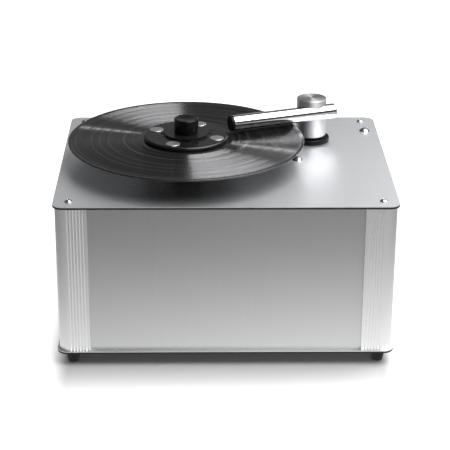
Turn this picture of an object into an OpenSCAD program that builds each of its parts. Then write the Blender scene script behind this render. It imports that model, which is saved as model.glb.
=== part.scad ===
/* [Case] */
// Width of the top plate, side to side
plate_w = 419; // [380:1:460]
// Depth of the top plate, front to back
plate_d = 336; // [320:1:370]
// Corner radius of the top and base plates
plate_corner_r = 13; // [8:0.5:18]
// Thickness of the dark core of each sandwich plate
core_t = 2.4; // [1.6:0.1:4]
// Thickness of the aluminium skin on each sandwich plate
skin_t = 0.6; // [0.4:0.1:1.2]
// Height from the base plate's underside to the top plate's upper face
case_h = 196.2; // [190:0.1:215]
// How far the plates stand out past the corner posts
plate_overhang = 2.1; // [1:0.1:5]
// Thickness of the side panels
panel_t = 3; // [2:0.1:3.6]
// How far the panels lie behind the faces of the corner posts
panel_recess = 4.2; // [3:0.1:6]
// Slack of each panel in its grooves
panel_slack = 0.1; // [0.05:0.05:0.3]

/* [Corner posts] */
// Width of each corner post on both of its faces
post_w = 39.3; // [36:0.1:44]
// Outer corner radius of the corner posts
post_r = 15.5; // [12:0.1:18]
// Wall thickness of the corner posts
post_wall = 2.4; // [1.8:0.1:3]
// Spacing of the ribs on the corner posts
rib_pitch = 3.8; // [3.5:0.1:4]
// Distance from the outer corner to the middle of the first flute
flute_start = 16.7; // [16.2:0.1:17.5]
// Radius of the flutes between the ribs
flute_r = 1.9; // [1.6:0.05:2.2]
// Depth of the flutes
flute_depth = 0.9; // [0.3:0.05:1.2]
// Thickness of the lip beside the panel
lip_t = 1.8; // [1:0.1:2]
// Depth of the groove that holds each panel's edge
groove_depth = 6; // [4:0.1:8]
// Thickness of the web behind each groove
groove_web = 2; // [1.5:0.1:3]
// Distance from the post faces to the screw axis
screw_inset = 17; // [16:0.1:18]
// Diameter of the screw boss inside each corner post
boss_d = 10; // [9:0.1:12]
// Thickness of the webs that hold the screw boss
boss_web = 2; // [1.5:0.1:3]

/* [Fasteners] */
// Shank diameter of the corner screws
corner_screw_d = 5; // [4:0.1:6]
// Length of the corner screws under the head
corner_screw_len = 18; // [12:1:30]
// Head diameter of the corner screws
corner_head_d = 9.4; // [8:0.1:12]
// Head height of the corner screws
corner_head_h = 2.8; // [2:0.1:4]
// Width of the hex socket in the corner screws, across its corners
hex_d = 3.5; // [3:0.1:4]
// Depth of the hex socket
hex_depth = 1.9; // [1:0.1:2]
// Head diameter of the two domed bolts
dome_head_d = 14.4; // [11:0.1:15]
// Height of the domed heads
dome_head_h = 4.2; // [3:0.1:6]
// Shank diameter of the two domed bolts
dome_shank_d = 6; // [5:0.1:8]
// How far the domed bolts stand out under the carrier plate
bolt_end = 2; // [1:0.5:6]
// First domed bolt, distance left of the swing axis
dome1_left = 22.1; // [20:0.1:30]
// First domed bolt, distance in front of the swing axis
dome1_front = 76; // [70:0.5:80]
// Second domed bolt, distance in from the right panel
dome2_side = 7.8; // [7:0.1:10]
// Second domed bolt, distance in front of the rear corner post
dome2_front = 16.7; // [14:0.1:30]
// Radial slack of every screw in its hole
screw_slack = 0.1; // [0.05:0.05:0.3]

/* [Feet] */
// Height of the feet
foot_h = 16.8; // [14:0.1:24]
// Diameter of the feet
foot_d = 18.2; // [16:0.1:24]
// Diameter of the recess for the foot screw
foot_bore_d = 11; // [10.5:0.1:12]
// Radius of the feet's lower edge
foot_edge_r = 1.2; // [0.5:0.1:2]

/* [Platter and record] */
// Record axis, distance left of the case centre
platter_x = 49.1; // [44:0.1:52]
// Record axis, distance in front of the case centre
platter_y = 7.7; // [4:0.1:12]
// Height of the record's upper face above the top plate
record_up = 31.2; // [28:0.1:34]
// Diameter of the record
record_d = 302.4; // [290:0.1:304]
// Thickness of the record at its rim and label
record_t = 2.2; // [1.6:0.1:2.6]
// How far the grooved band lies below the rim and label
groove_sink = 0.3; // [0.1:0.05:0.5]
// Width of the raised rim of the record
record_rim = 4.6; // [3:0.1:7]
// Diameter of the record's label area
label_d = 100; // [96:0.5:102]
// How much wider the record's flat middle is on its underside
under_rim = 4; // [1:0.5:6]
// Diameter of the record's centre hole
record_hole_d = 7.26; // [7.2:0.02:7.4]
// Diameter of the spindle pin
spindle_d = 7.1; // [6.9:0.02:7.16]
// Diameter of the hub under the record
hub_d = 104; // [90:1:110]
// Thickness of the rubber mat
mat_t = 2; // [1:0.1:4]
// Thickness of the hub's upper disc
hub_t = 6; // [4:0.1:9]
// Diameter of the hub's column
hub_column_d = 44; // [38:0.5:60]
// Diameter of the drive spindle in its bearing
shaft_d = 12; // [10:0.1:14]
// Radial clearance of the running and sliding fits
run_clear = 0.05; // [0.02:0.01:0.1]
// Radial gap round the spindle pin in the mat and the clamp
pin_gap = 0.3; // [0.2:0.05:0.6]
// Outer diameter of the bearing barrel
bearing_d = 24; // [20:0.5:28]
// Diameter of the bearing flange
bearing_flange_d = 36; // [32:0.5:40]
// Thickness of the bearing flange
bearing_flange_t = 2.5; // [1.5:0.1:3]
// How far the bearing barrel reaches below its nut
bearing_end = 2; // [1:0.5:4]
// Height of the bearing nut
nut_h = 6; // [4:0.1:8]
// How far the bearing nut's corners stand out past the barrel
nut_rim = 7; // [5:0.5:9]
// Height of the coupling between motor and spindle
coupling_h = 12; // [10:0.5:16]
// Wall thickness of the coupling round the spindle
coupling_wall = 2.5; // [2:0.5:4]
// Gap between the coupling and the gear case
coupling_gap = 2; // [1:0.5:4]
// How far the spindle's two diameters reach into the hub
hub_seat = 2; // [1:0.5:4]
// Gap between the hub's column and the bearing flange
hub_gap = 1; // [0.5:0.5:2]
// How far the spindle pin stands out past the clamp's ring
pin_up = 8; // [6:0.5:9]

/* [Drive motor] */
// Diameter of the gear case
gear_case_d = 62; // [50:1:66]
// Height of the gear case
gear_case_h = 28; // [20:1:32]
// Diameter of the motor can
motor_can_d = 44; // [36:1:50]
// Height of the motor can
motor_can_h = 52; // [40:1:56]
// Diameter of the motor's output shaft
gear_shaft_d = 8; // [6:0.1:10]
// How deep the output shaft runs in the gear case
gear_shaft_in = 12; // [8:0.5:20]
// Gap under the output shaft in the gear case
shaft_end_gap = 2; // [1:0.5:4]
// Diameter of the motor bracket
bracket_d = 92; // [80:1:100]
// Thickness of the motor bracket
bracket_t = 3; // [2:0.1:5]
// Length of the bracket's three legs
bracket_leg = 24; // [22:0.5:30]
// Diameter of the bracket's legs
leg_d = 9; // [7:0.5:10]
// Distance from the gear case's rim to the leg axes
leg_inset = 6; // [5:0.5:8]
// Shank diameter of the motor screws
motor_screw_d = 4; // [3:0.1:5]
// Head diameter of the motor screws
motor_head_d = 7; // [6:0.1:8]
// Head height of the motor screws
motor_head_h = 2.4; // [1.5:0.1:4]
// Thickness of the gear case where the screws pass it
motor_web = 5; // [4:0.5:8]

/* [Clamp] */
// Diameter of the clamp
clamp_d = 108.8; // [104:0.2:112]
// Thickness of the clamp's disc
clamp_t = 4.2; // [3.4:0.1:6]
// Radius of the clamp's upper edge
clamp_edge_r = 2.6; // [1:0.1:3]
// Thickness of the disc under the weights
weight_floor = 1.5; // [1:0.1:2]
// Height of the rubber seal under the clamp
seal_h = 1.4; // [1:0.1:3]
// Width of the rubber seal
seal_w = 6; // [4:0.1:10]
// Distance from the clamp's rim to the rubber seal
seal_inset = 2.5; // [1:0.5:6]
// Diameter of the steel weights
weight_d = 18; // [14:0.1:22]
// Distance from the clamp's rim to the axes of the weights
weight_inset = 12.4; // [12:0.1:16]
// How far the weights stand out of the disc
weight_up = 0.8; // [0.2:0.1:1.2]
// Turn of the weights about the spindle
weight_turn = 156.7; // [150:0.1:163]
// Diameter of the raised ring
ring_d = 57; // [44:0.5:60]
// Height of the raised ring
ring_h = 2.7; // [1:0.1:4]
// Bevel of the raised ring's upper edge
ring_bevel = 0.6; // [0.3:0.1:1]
// Length of the slots beside the raised ring
clamp_slot_len = 12; // [8:0.5:16]
// Gap between the raised ring and the slots
clamp_slot_gap = 1; // [0.5:0.1:3]
// Width of the slots
clamp_slot_w = 1.6; // [1:0.1:3]
// Depth of the slots
clamp_slot_depth = 1; // [0.5:0.1:2]
// Gap between the raised ring and the notches
notch_gap = 0.4; // [0.2:0.1:2]
// Width of the notches beside the raised ring
notch_w = 9; // [6:0.5:12]
// Length of the notches, out from the ring
notch_len = 3.4; // [2:0.1:5]
// Depth of the notches
notch_depth = 0.8; // [0.4:0.1:2]
// Diameter of the knob
knob_d = 31.2; // [24:0.1:36]
// Height of the knob above the raised ring
knob_h = 18.8; // [14:0.1:24]
// Radius of the knob's edges
knob_edge_r = 1.2; // [0.6:0.1:2]
// Radius of the hollow in the knob's top
knob_dish_r = 60; // [40:5:120]
// Depth of the hollow in the knob's top
knob_dish = 1.2; // [0.5:0.1:1.6]
// Depth of the knob's bore
knob_bore = 10; // [9.5:0.5:12]
// Gap between clamp and record
seat_gap = 0.05; // [0.02:0.01:0.1]

/* [Suction arm] */
// Swing axis, distance right of the case centre
arm_x = 116.6; // [115:0.1:123]
// Swing axis, distance behind the case centre
arm_y = 73; // [71:0.1:76]
// Diameter of the arm post
arm_post_d = 39.1; // [37.5:0.1:42]
// Height of the arm post's top above the top plate
arm_post_up = 59.4; // [57:0.1:66]
// Height of the arm post's lower end above the top plate
arm_post_low = 8.8; // [8.2:0.1:9.6]
// Radius of the arm post's upper edge
post_edge_r = 0.6; // [0.3:0.1:1]
// Radius of the dimple in the arm post's top
dimple_r = 2.4; // [1.5:0.1:3]
// Depth of the dimple
dimple_depth = 1.2; // [0.6:0.1:1.4]
// Diameter of the suction tube
tube_d = 20.2; // [17:0.1:21]
// Wall thickness of the suction tube
tube_wall = 1.5; // [1:0.1:2]
// Gap between the suction tube and the record
tube_gap = 0.6; // [0.5:0.05:1.2]
// Sideways offset of the suction tube from the swing axis
tube_offset = 12.5; // [11:0.1:14]
// Length of the suction tube from the swing axis to its tip
tube_reach = 117.6; // [110:0.1:120]
// Length of the suction tube behind the swing axis
tube_tail = 28; // [24:0.1:34]
// Radius of the suction tube's closed end
tube_end_r = 2; // [1:0.1:4]
// Direction of the suction tube against the case's width
arm_turn = 20.5; // [15:0.1:22]
// Length of the black end cap past the tube
tip_cap_len = 4; // [2:0.1:5]
// Radius of the end cap's edge
cap_edge_r = 1; // [0.5:0.1:1.5]
// How deep the end cap is pushed into the tube
cap_plug = 4; // [2:0.5:4]
// Width of the suction slot
slot_w = 3; // [2:0.1:4]
// Length of the suction slot
slot_len = 76; // [60:1:78]
// Distance from the tube's open end to the suction slot
slot_start = 5; // [4.5:0.5:8]
// Thickness of the velvet strips
velvet_t = 0.4; // [0.2:0.05:0.45]
// Angle round the tube that each velvet strip covers
velvet_arc = 30; // [20:1:40]
// Angle between each velvet strip and the middle of the slot
velvet_start = 10; // [9:0.5:12]
// Outer diameter of the lifting pipe
riser_d = 22; // [20:0.1:24]
// Wall thickness of the lifting pipe
riser_wall = 2; // [1.5:0.1:3]
// Lift of the arm
arm_lift = 8; // [4:0.5:9]
// Gap left under the sleeve when the arm is raised
lift_gap = 0.5; // [0.3:0.1:1]
// Diameter of the collar on the top plate
collar_d = 48.9; // [46:0.1:52]
// Height of the collar
collar_h = 6.6; // [4:0.1:6.8]
// Radius of the collar's upper edge
collar_edge_r = 1.6; // [0.8:0.1:1.8]
// Width of the collar's flat rim
collar_rim = 1.2; // [0.6:0.1:2]
// Depth of the collar's recess under the arm post
collar_sink = 1; // [0.5:0.1:1.5]
// Radial gap between the collar and the lifting pipe
collar_gap = 1; // [0.5:0.1:2]
// Outer diameter of the guide sleeve
sleeve_d = 32; // [29:0.1:36]
// Thickness of the carrier plate under the top plate
carrier_t = 6; // [4:0.1:8]
// How far the carrier plate stands out round the sleeve
carrier_rim = 11; // [8:0.5:14]
// Width of the carrier plate's long arm
carrier_arm_w = 16; // [12:0.5:20]
// Width of the carrier plate's short arm
carrier_lug_w = 12; // [10:0.5:14]
// How far the sleeve's flange stands out
sleeve_flange = 5; // [3:0.5:7]
// Thickness of the sleeve's flange
sleeve_flange_t = 4; // [2:0.5:6]
// How far the lifting pipe reaches below the top plate's underside
riser_drop = 45; // [44:0.5:50]
// How far the lifting pipe's flanges stand out
riser_flange = 4.2; // [3:0.1:4.8]
// Thickness of the lifting pipe's flanges
riser_flange_t = 1.2; // [1:0.1:1.5]
// Gap over the lifting pipe in the arm post's socket
socket_gap = 1; // [0.5:0.5:2]
// Radius of the air channel in the post
channel_r = 6; // [4:0.1:6.5]

/* [Tank] */
// Gap between the tank and the right panel
tank_side = 6.8; // [5:0.1:9]
// Width of the tank
tank_w = 148; // [142:1:150]
// Depth of the tank
tank_d = 235; // [210:1:238]
// Height of the tank
tank_h = 106; // [90:1:112]
// Front of the tank, distance in front of the case centre
tank_front = 120; // [112:1:122]
// Wall thickness of the tank
tank_wall = 3; // [2:0.1:4]
// Corner radius of the tank
tank_r = 8; // [6:0.5:12]
// Thickness of the tank's lid
lid_t = 3; // [2:0.1:4]
// How far the tank's lid reaches in under the bellows
lid_lip = 1; // [0.5:0.5:3]
// Outer diameter of the bellows
bellows_d = 36; // [34:0.5:40]
// Depth of the bellows' folds
fold_depth = 5; // [4:0.5:6]
// Number of the bellows' folds
folds = 5; // [4:1:7]
// Wall thickness of the bellows, measured level
bellows_wall = 1.4; // [1:0.1:2]

/* [Vacuum unit] */
// Gap between the fan chamber and the left panel
vac_side = 27.8; // [20:0.1:30]
// Gap between the fan chamber and the rear panel
vac_rear = 25.8; // [22:0.1:28]
// Diameter of the fan chamber
vac_d = 124; // [112:1:126]
// Height of the fan chamber
vac_chamber_h = 42; // [36:1:44]
// Diameter of the vacuum motor's can
vac_can_d = 96; // [80:1:100]
// Height of the vacuum motor's can
vac_can_h = 60; // [50:1:62]
// Diameter of the fan
fan_d = 104; // [90:1:106]
// Outer diameter of the air hose
hose_d = 32; // [28:0.5:34]
// Wall thickness of the air hose
hose_wall = 3; // [2:0.1:4]
// Diameter of the exhaust duct
duct_d = 40; // [34:0.5:42]
// Wall thickness of the exhaust duct and the fan chamber
duct_wall = 3; // [2:0.1:4]
// Height of the rubber cushion under the vacuum motor
cushion_h = 3; // [2:0.1:5]
// Width of the rubber cushion's ring
cushion_w = 14.4; // [8:0.1:20]
// Wall thickness of the spigots that carry the air hose
spigot_wall = 2.5; // [2:0.1:4]
// Height of the spigots that carry the air hose
spigot_h = 16; // [12:0.5:20]
// Height of the air hose's axis above the fan chamber
hose_rise = 48; // [46:0.5:52]
// Bend radius of the air hose
bend_r = 26; // [22:0.5:28]
// Gap between the hose's ends and the faces below them
hose_gap = 1; // [0.5:0.5:2]
// Air outlet, distance right of the tank's left side
outlet_side = 22; // [18:0.5:30]
// Air outlet, distance in front of the swing axis
outlet_front = 38; // [36:0.5:60]
// Diameter of the fan's shaft
fan_shaft_d = 8; // [6:0.1:10]
// How deep the hole for the fan's shaft reaches into the motor's can
fan_shaft_in = 24; // [16:1:30]
// Diameter of the fan's hub
fan_hub_d = 24; // [18:0.5:30]
// Height of the fan's hub
fan_hub_h = 20; // [18:0.5:24]
// Width of the air slots in the rear panel
vent_w = 28; // [20:1:30]
// Height of the air slots, and half of their spacing
vent_h = 3; // [2:0.1:3.2]
// Thickness of the fan's disc and blades
fan_t = 2; // [1.5:0.1:3]
// Height of the fan's blades
blade_h = 15; // [10:0.5:18]
// Number of the fan's blades
blades = 12; // [8:1:16]
// Gap between the fan and the chamber's floor
fan_gap = 3; // [2:0.1:5]

/* [Sockets and switches] */
// Power socket, distance right of the case centre
inlet_x = 18; // [10:0.5:20]
// Height of the power socket above the base plate
inlet_z = 42; // [34:0.5:50]
// Width of the power socket's cavity
cavity_w = 24.4; // [24:0.1:25]
// Height of the power socket's cavity
cavity_h = 16.4; // [16:0.1:17]
// Depth of the power socket's cavity
cavity_depth = 16; // [15.5:0.1:17]
// Wall thickness of the power socket round its cavity
inlet_wall = 1.7; // [1.5:0.1:2.2]
// Depth of the power socket's body behind the panel's face
inlet_depth = 24; // [20:0.5:28]
// Width of the power socket's flange
inlet_flange_w = 50; // [49:0.5:54]
// Height of the power socket's flange
inlet_flange_h = 23; // [22:0.5:26]
// Thickness of the power socket's flange
inlet_flange_t = 2.4; // [2:0.1:3]
// Distance between the power socket's screws
inlet_screw_pitch = 40; // [38:0.5:41]
// Shank diameter of the power socket's screws
inlet_screw_d = 3; // [2.5:0.1:3.5]
// Length of the power socket's screws
inlet_screw_len = 8.4; // [8:0.1:14]
// Head diameter of the power socket's screws
inlet_head_d = 5.6; // [5:0.1:6.5]
// Head height of the power socket's screws
inlet_head_h = 1.4; // [1:0.1:2]
// Gap round the power socket and the switches in their panels
cutout_gap = 0.1; // [0.05:0.05:0.3]
// Front switch, distance behind the front corner post
switch_front = 21.7; // [18:0.1:30]
// Distance between the two switches
switch_pitch = 32; // [24:0.5:40]
// Height of the switches above the base plate
switch_z = 150; // [145:0.5:160]
// Tilt of the vacuum switch in its off position
rocker_tilt = 10; // [6:0.5:12]
// Width of each switch's body
switch_w = 12.4; // [11:0.1:14]
// Height of each switch's body
switch_h = 28.6; // [27:0.1:30]
// Depth of each switch's body behind the panel's face
switch_depth = 19; // [18:0.5:24]
// Wall thickness of each switch's body
switch_wall = 1; // [0.8:0.1:1.5]
// Thickness of each switch's body behind its rocker
switch_floor = 5; // [4:0.5:7]
// How far each switch's bezel reaches past its body
bezel_rim = 1.5; // [1:0.1:2.5]
// Thickness of each switch's bezel
bezel_t = 1.8; // [1:0.1:2.5]
// Distance of the rockers' pins behind the panel's face
pin_in = 5.8; // [5:0.1:7]
// Diameter of the rockers' pins
rocker_pin_d = 3; // [2:0.1:4]
// How far the rockers' pins reach into the walls beside them
pin_seat = 0.6; // [0.4:0.1:0.7]
// Gap between each rocker and the walls beside it
rocker_gap = 0.3; // [0.2:0.05:0.5]
// Height of each rocker
rocker_h = 22.8; // [20:0.2:23.4]
// How far the rockers' ends stand out past the panel's face
rocker_out = 2.2; // [1.9:0.1:3]
// Depth of the hollow in each rocker's face
rocker_dip = 2; // [1:0.1:2.6]
// Depth of each rocker behind its pin's axis
rocker_back = 3.5; // [2.5:0.1:5]
// Drain, distance right of the tank's left side
drain_side = 85; // [60:1:100]
// Height of the drain above the base plate
drain_z = 20; // [19:0.5:26]
// Outer diameter of the drain pipe
drain_d = 22; // [20:0.1:26]
// Wall thickness of the drain pipe
drain_wall = 4; // [3:0.5:5]
// Thickness of the drain pipe where it passes the tank's wall
drain_neck = 2; // [1:0.5:2.5]
// How far the drain pipe stands out past the panel
drain_out = 1; // [0.5:0.5:4]
// Thickness of the drain plug's head
plug_t = 4; // [3:0.5:6]
// How deep the drain plug reaches into the pipe
plug_len = 12; // [8:0.5:16]
// How far the drain plug's head stands out past the pipe
plug_rim = 1; // [0.5:0.5:3]
// Gap under the drain plug's head
plug_gap = 0.1; // [0.05:0.05:0.2]
// Radius of the finger flutes round the drain plug
plug_flute_r = 1.4; // [1:0.1:2]
// Depth of the finger flutes
plug_flute_depth = 0.8; // [0.4:0.1:1]
// Length of the slot in the drain plug
plug_slot_len = 16; // [10:0.5:20]
// Width of the slot in the drain plug
plug_slot_w = 2.2; // [1.6:0.1:3]
// Depth of the slot in the drain plug
plug_slot_depth = 1.4; // [1:0.1:2]
// Height of the level window
window_h = 84; // [60:1:90]
// Width of the level window
window_w = 10; // [8:0.5:14]
// Height of the level window's lower end above the base plate
window_low = 20; // [14:0.5:26]
// How far the level window's flange reaches past its opening
window_flange = 4; // [2:0.5:6]
// Thickness of the level window's flange
window_flange_t = 1.5; // [1:0.1:3]

/* [Hidden] */
// Overlap of fused shapes
eps = 0.01;
// How far cuts run past a face
over = 1;
plate_t = core_t + skin_t;
base_z = foot_h;
floor_z = foot_h + plate_t;
deck_z = foot_h + case_h;
ceil_z = deck_z - plate_t;
inner_h = ceil_z - floor_z;
face_x = plate_w / 2 - plate_overhang;
face_y = plate_d / 2 - plate_overhang;
panel_x = face_x - panel_recess;
panel_y = face_y - panel_recess;
panel_half_x = face_x - post_w + groove_depth - panel_slack;
panel_half_y = face_y - post_w + groove_depth - panel_slack;
wall_x = panel_x - panel_t;
wall_y = panel_y - panel_t;
screw_x = face_x - screw_inset;
foot_screw_len = foot_h / 2 + plate_t + corner_screw_len;
screw_y = face_y - screw_inset;
dome1_x = arm_x - dome1_left;
dome1_y = arm_y - dome1_front;
dome2_x = wall_x - dome2_side;
dome2_y = face_y - post_w - dome2_front;
tank_x0 = wall_x - tank_side - tank_w;
vac_x = wall_x - vac_side - vac_d / 2;
vac_y = wall_y - vac_rear - vac_d / 2;
switch1_y = face_y - post_w - switch_front;
switch2_y = switch1_y - switch_pitch;
drain_x = tank_x0 + drain_side;
px = -platter_x;
py = -platter_y;
record_top = deck_z + record_up;
mat_top = record_top - record_t;
hub_top = mat_top - mat_t;
flange_top = deck_z + bearing_flange_t;
bracket_z = ceil_z - bracket_t;
bearing_low = bracket_z - nut_h - bearing_end;
gear_top = bracket_z - bracket_leg;
bracket_screw_r = gear_case_d / 2 - leg_inset;
shaft_hole_z = gear_top - gear_shaft_in - shaft_end_gap;
motor_screw_len = motor_web + 2.5 * motor_screw_d;
shaft_low = gear_top + coupling_gap;
coupling_mid = shaft_low + coupling_h / 2;
hub_low = flange_top + hub_gap;
disc_z = record_top + seat_gap + seal_h;
weight_r = clamp_d / 2 - weight_inset;
ring_z = disc_z + clamp_t;
knob_z = ring_z + ring_h + seat_gap;
tube_r = tube_d / 2;
tube_z = record_top + tube_gap + tube_r;
tube_len = tube_reach + tube_tail;
riser_flange_z = deck_z + arm_post_low - run_clear;
riser_low = ceil_z - riser_drop;
riser_socket = riser_d / 2;
riser_top = deck_z + arm_post_low + riser_socket - socket_gap;
channel_z = deck_z + arm_post_low + riser_socket;
lid_z = floor_z + tank_wall + tank_h;
bellows_z = lid_z + lid_t;
tank_y0 = -tank_front;
vac_z = floor_z + cushion_h;
chamber_z = vac_z + vac_can_h;
chamber_top = chamber_z + vac_chamber_h;
duct_z = chamber_z + vac_chamber_h / 2;
fan_hole_z = chamber_z - fan_shaft_in;
fan_shaft_z = fan_hole_z + shaft_end_gap;
hose_r = hose_d / 2;
spigot_d = hose_d - 2 * hose_wall;
hose_run_z = chamber_top + hose_rise;
outlet_x = tank_x0 + outlet_side;
outlet_y = arm_y - outlet_front;
spigot_bore = spigot_d - 2 * spigot_wall;
inlet_w = cavity_w + 2 * inlet_wall;
inlet_h = cavity_h + 2 * inlet_wall;
socket_pins = [[-7, -2], [0, 2], [7, -2]];
socket_pin = [2, 14, 4];
rocker_w = switch_w - 2 * switch_wall - 2 * rocker_gap;
pin_half = switch_w / 2 - switch_wall + pin_seat;
drain_neck_d = drain_d - 2 * drain_neck;
drain_bore = drain_d - 2 * drain_wall;

// Radius of a dome of diameter d and height h
function dome_r(d, h) = (d * d / 4 + h * h) / (2 * h);

module bar(d, h, at = [0, 0, 0]) {
  translate(at)
    cylinder(d = d, h = h, $fn = 96);
}

module rounded(w, d, r) {
  translate([r - w / 2, -d / 2])
    square([w - 2 * r, d]);
  translate([-w / 2, r - d / 2])
    square([w, d - 2 * r]);
  for (x = [r - w / 2, w / 2 - r])
    for (y = [r - d / 2, d / 2 - r])
      translate([x, y])
        circle(r = r, $fn = 96);
}

module corner_holes(r) {
  for (x = [-screw_x, screw_x])
    for (y = [-screw_y, screw_y])
      translate([x, y])
        circle(r = r, $fn = 48);
}

module top_outline() {
  difference() {
    rounded(plate_w, plate_d, plate_corner_r);
    corner_holes(corner_screw_d / 2 + screw_slack);
    translate([px, py])
      circle(d = bearing_d, $fn = 96);
    translate([arm_x, arm_y])
      circle(d = sleeve_d, $fn = 96);
    translate([dome1_x, dome1_y])
      circle(r = dome_shank_d / 2 + screw_slack, $fn = 48);
    translate([dome2_x, dome2_y])
      circle(r = dome_shank_d / 2 + screw_slack, $fn = 48);
  }
}

module base_outline() {
  difference() {
    rounded(plate_w, plate_d, plate_corner_r);
    corner_holes(corner_screw_d / 2 + screw_slack);
  }
}

module base_core() {
  color([0.05, 0.05, 0.05])
    translate([0, 0, base_z])
      linear_extrude(height = core_t)
        base_outline();
}

module base_skin() {
  color([0.7, 0.71, 0.72])
    translate([0, 0, base_z + core_t])
      linear_extrude(height = skin_t)
        base_outline();
}

module top_core() {
  color([0.05, 0.05, 0.05])
    translate([0, 0, ceil_z])
      linear_extrude(height = core_t)
        top_outline();
}

module top_skin() {
  color([0.62, 0.63, 0.64])
    translate([0, 0, ceil_z + core_t])
      linear_extrude(height = skin_t)
        top_outline();
}

module post_arm() {
  translate([post_r, 0])
    square([post_w - post_r, post_wall]);
  translate([post_w - groove_depth - groove_web, 0]) {
    square([groove_depth + groove_web, panel_recess]);
    square([groove_web, panel_recess + panel_t + panel_slack + lip_t]);
    translate([0, panel_recess + panel_t + panel_slack])
      square([groove_depth + groove_web, lip_t]);
  }
  translate([screw_inset - boss_web / 2, post_wall - eps])
    square([boss_web, screw_inset - boss_d / 2 - post_wall + boss_web / 4]);
}

module post_flutes() {
  for (i = [0:5])
    translate([flute_start + i * rib_pitch, flute_depth - flute_r])
      circle(r = flute_r, $fn = 48);
}

module post_profile() {
  difference() {
    union() {
      difference() {
        translate([post_r, post_r])
          circle(r = post_r, $fn = 96);
        translate([post_r, post_r])
          circle(r = post_r - post_wall, $fn = 96);
        translate([post_r, post_r])
          square([post_r + over, post_r + over]);
        translate([post_r, -over])
          square([post_r + over, post_r + 2 * over]);
        translate([-over, post_r])
          square([post_r + 2 * over, post_r + over]);
      }
      post_arm();
      mirror([1, -1])
        post_arm();
      translate([screw_inset, screw_inset])
        circle(d = boss_d, $fn = 64);
    }
    post_flutes();
    mirror([1, -1])
      post_flutes();
    translate([screw_inset, screw_inset])
      circle(r = corner_screw_d / 2 + screw_slack, $fn = 48);
  }
}

module corner_post(sx, sy) {
  color([0.72, 0.73, 0.74])
    scale([sx, sy, 1])
      translate([-face_x, -face_y, floor_z])
        linear_extrude(height = inner_h)
          post_profile();
}

module post_front_left() {
  corner_post(1, 1);
}

module post_front_right() {
  corner_post(-1, 1);
}

module post_rear_left() {
  corner_post(1, -1);
}

module post_rear_right() {
  corner_post(-1, -1);
}

module front_panel() {
  color([0.66, 0.67, 0.68])
    translate([-panel_half_x, -panel_y, floor_z])
      cube([2 * panel_half_x, panel_t, inner_h]);
}

module inlet_axes(back) {
  for (x = [-inlet_screw_pitch / 2, inlet_screw_pitch / 2])
    translate([x, -back, 0])
      rotate([-90, 0, 0])
        children();
}

module rear_panel() {
  color([0.66, 0.67, 0.68])
    difference() {
      translate([-panel_half_x, wall_y, floor_z])
        cube([2 * panel_half_x, panel_t, inner_h]);
      translate([inlet_x, wall_y, floor_z + inlet_z]) {
        translate([-inlet_w / 2 - cutout_gap, -over, -inlet_h / 2 - cutout_gap])
          cube([inlet_w + 2 * cutout_gap, panel_t + 2 * over, inlet_h + 2 * cutout_gap]);
        inlet_axes(over)
          cylinder(r = inlet_screw_d / 2 + screw_slack, h = panel_t + 2 * over, $fn = 32);
      }
      translate([drain_x, wall_y - over, floor_z + drain_z])
        rotate([-90, 0, 0])
          cylinder(d = drain_d, h = panel_t + 2 * over, $fn = 96);
      for (i = [-2:2])
        translate([-vac_x - vent_w / 2, wall_y - over, duct_z + (2 * i - 0.5) * vent_h])
          cube([vent_w, panel_t + 2 * over, vent_h]);
    }
}

module left_panel() {
  cut_w = switch_w + 2 * cutout_gap;
  cut_h = switch_h + 2 * cutout_gap;
  color([0.66, 0.67, 0.68])
    difference() {
      translate([-panel_x, -panel_half_y, floor_z])
        cube([panel_t, 2 * panel_half_y, inner_h]);
      for (y = [-switch1_y, -switch2_y])
        translate([-panel_x - over, y - cut_w / 2, floor_z + switch_z - cut_h / 2])
          cube([panel_t + 2 * over, cut_w, cut_h]);
    }
}

module right_panel() {
  color([0.66, 0.67, 0.68])
    difference() {
      translate([wall_x, -panel_half_y, floor_z])
        cube([panel_t, 2 * panel_half_y, inner_h]);
      translate([wall_x - over, -window_w / 2, floor_z + window_low])
        cube([panel_t + 2 * over, window_w, window_h]);
    }
}

module level_window() {
  color([0.75, 0.85, 0.88, 0.5]) {
    translate([wall_x, -window_w / 2, floor_z + window_low])
      cube([panel_t, window_w, window_h]);
    translate([wall_x - window_flange_t, -window_w / 2 - window_flange, floor_z + window_low - window_flange])
      cube([window_flange_t, window_w + 2 * window_flange, window_h + 2 * window_flange]);
  }
}

module button_screw(d, len, head_d, head_h) {
  r = dome_r(head_d, head_h);
  difference() {
    union() {
      bar(d, len + eps, [0, 0, -len]);
      intersection() {
        translate([0, 0, head_h - r])
          sphere(r = r, $fn = 96);
        bar(head_d, head_h);
      }
    }
    translate([0, 0, head_h - hex_depth])
      cylinder(d = hex_d, h = hex_depth + over, $fn = 6);
  }
}

module top_screws() {
  color([0.85, 0.85, 0.86])
    for (x = [-screw_x, screw_x])
      for (y = [-screw_y, screw_y])
        translate([x, y, deck_z])
          button_screw(corner_screw_d, corner_screw_len, corner_head_d, corner_head_h);
}

module dome_bolt() {
  r = dome_r(dome_head_d, dome_head_h);
  len = plate_t + carrier_t + bolt_end;
  bar(dome_shank_d, len + eps, [0, 0, -len]);
  intersection() {
    translate([0, 0, dome_head_h - r])
      sphere(r = r, $fn = 96);
    bar(dome_head_d, dome_head_h);
  }
}

module dome_bolts() {
  color([0.85, 0.85, 0.86]) {
    translate([dome1_x, dome1_y, deck_z])
      dome_bolt();
    translate([dome2_x, dome2_y, deck_z])
      dome_bolt();
  }
}

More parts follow.
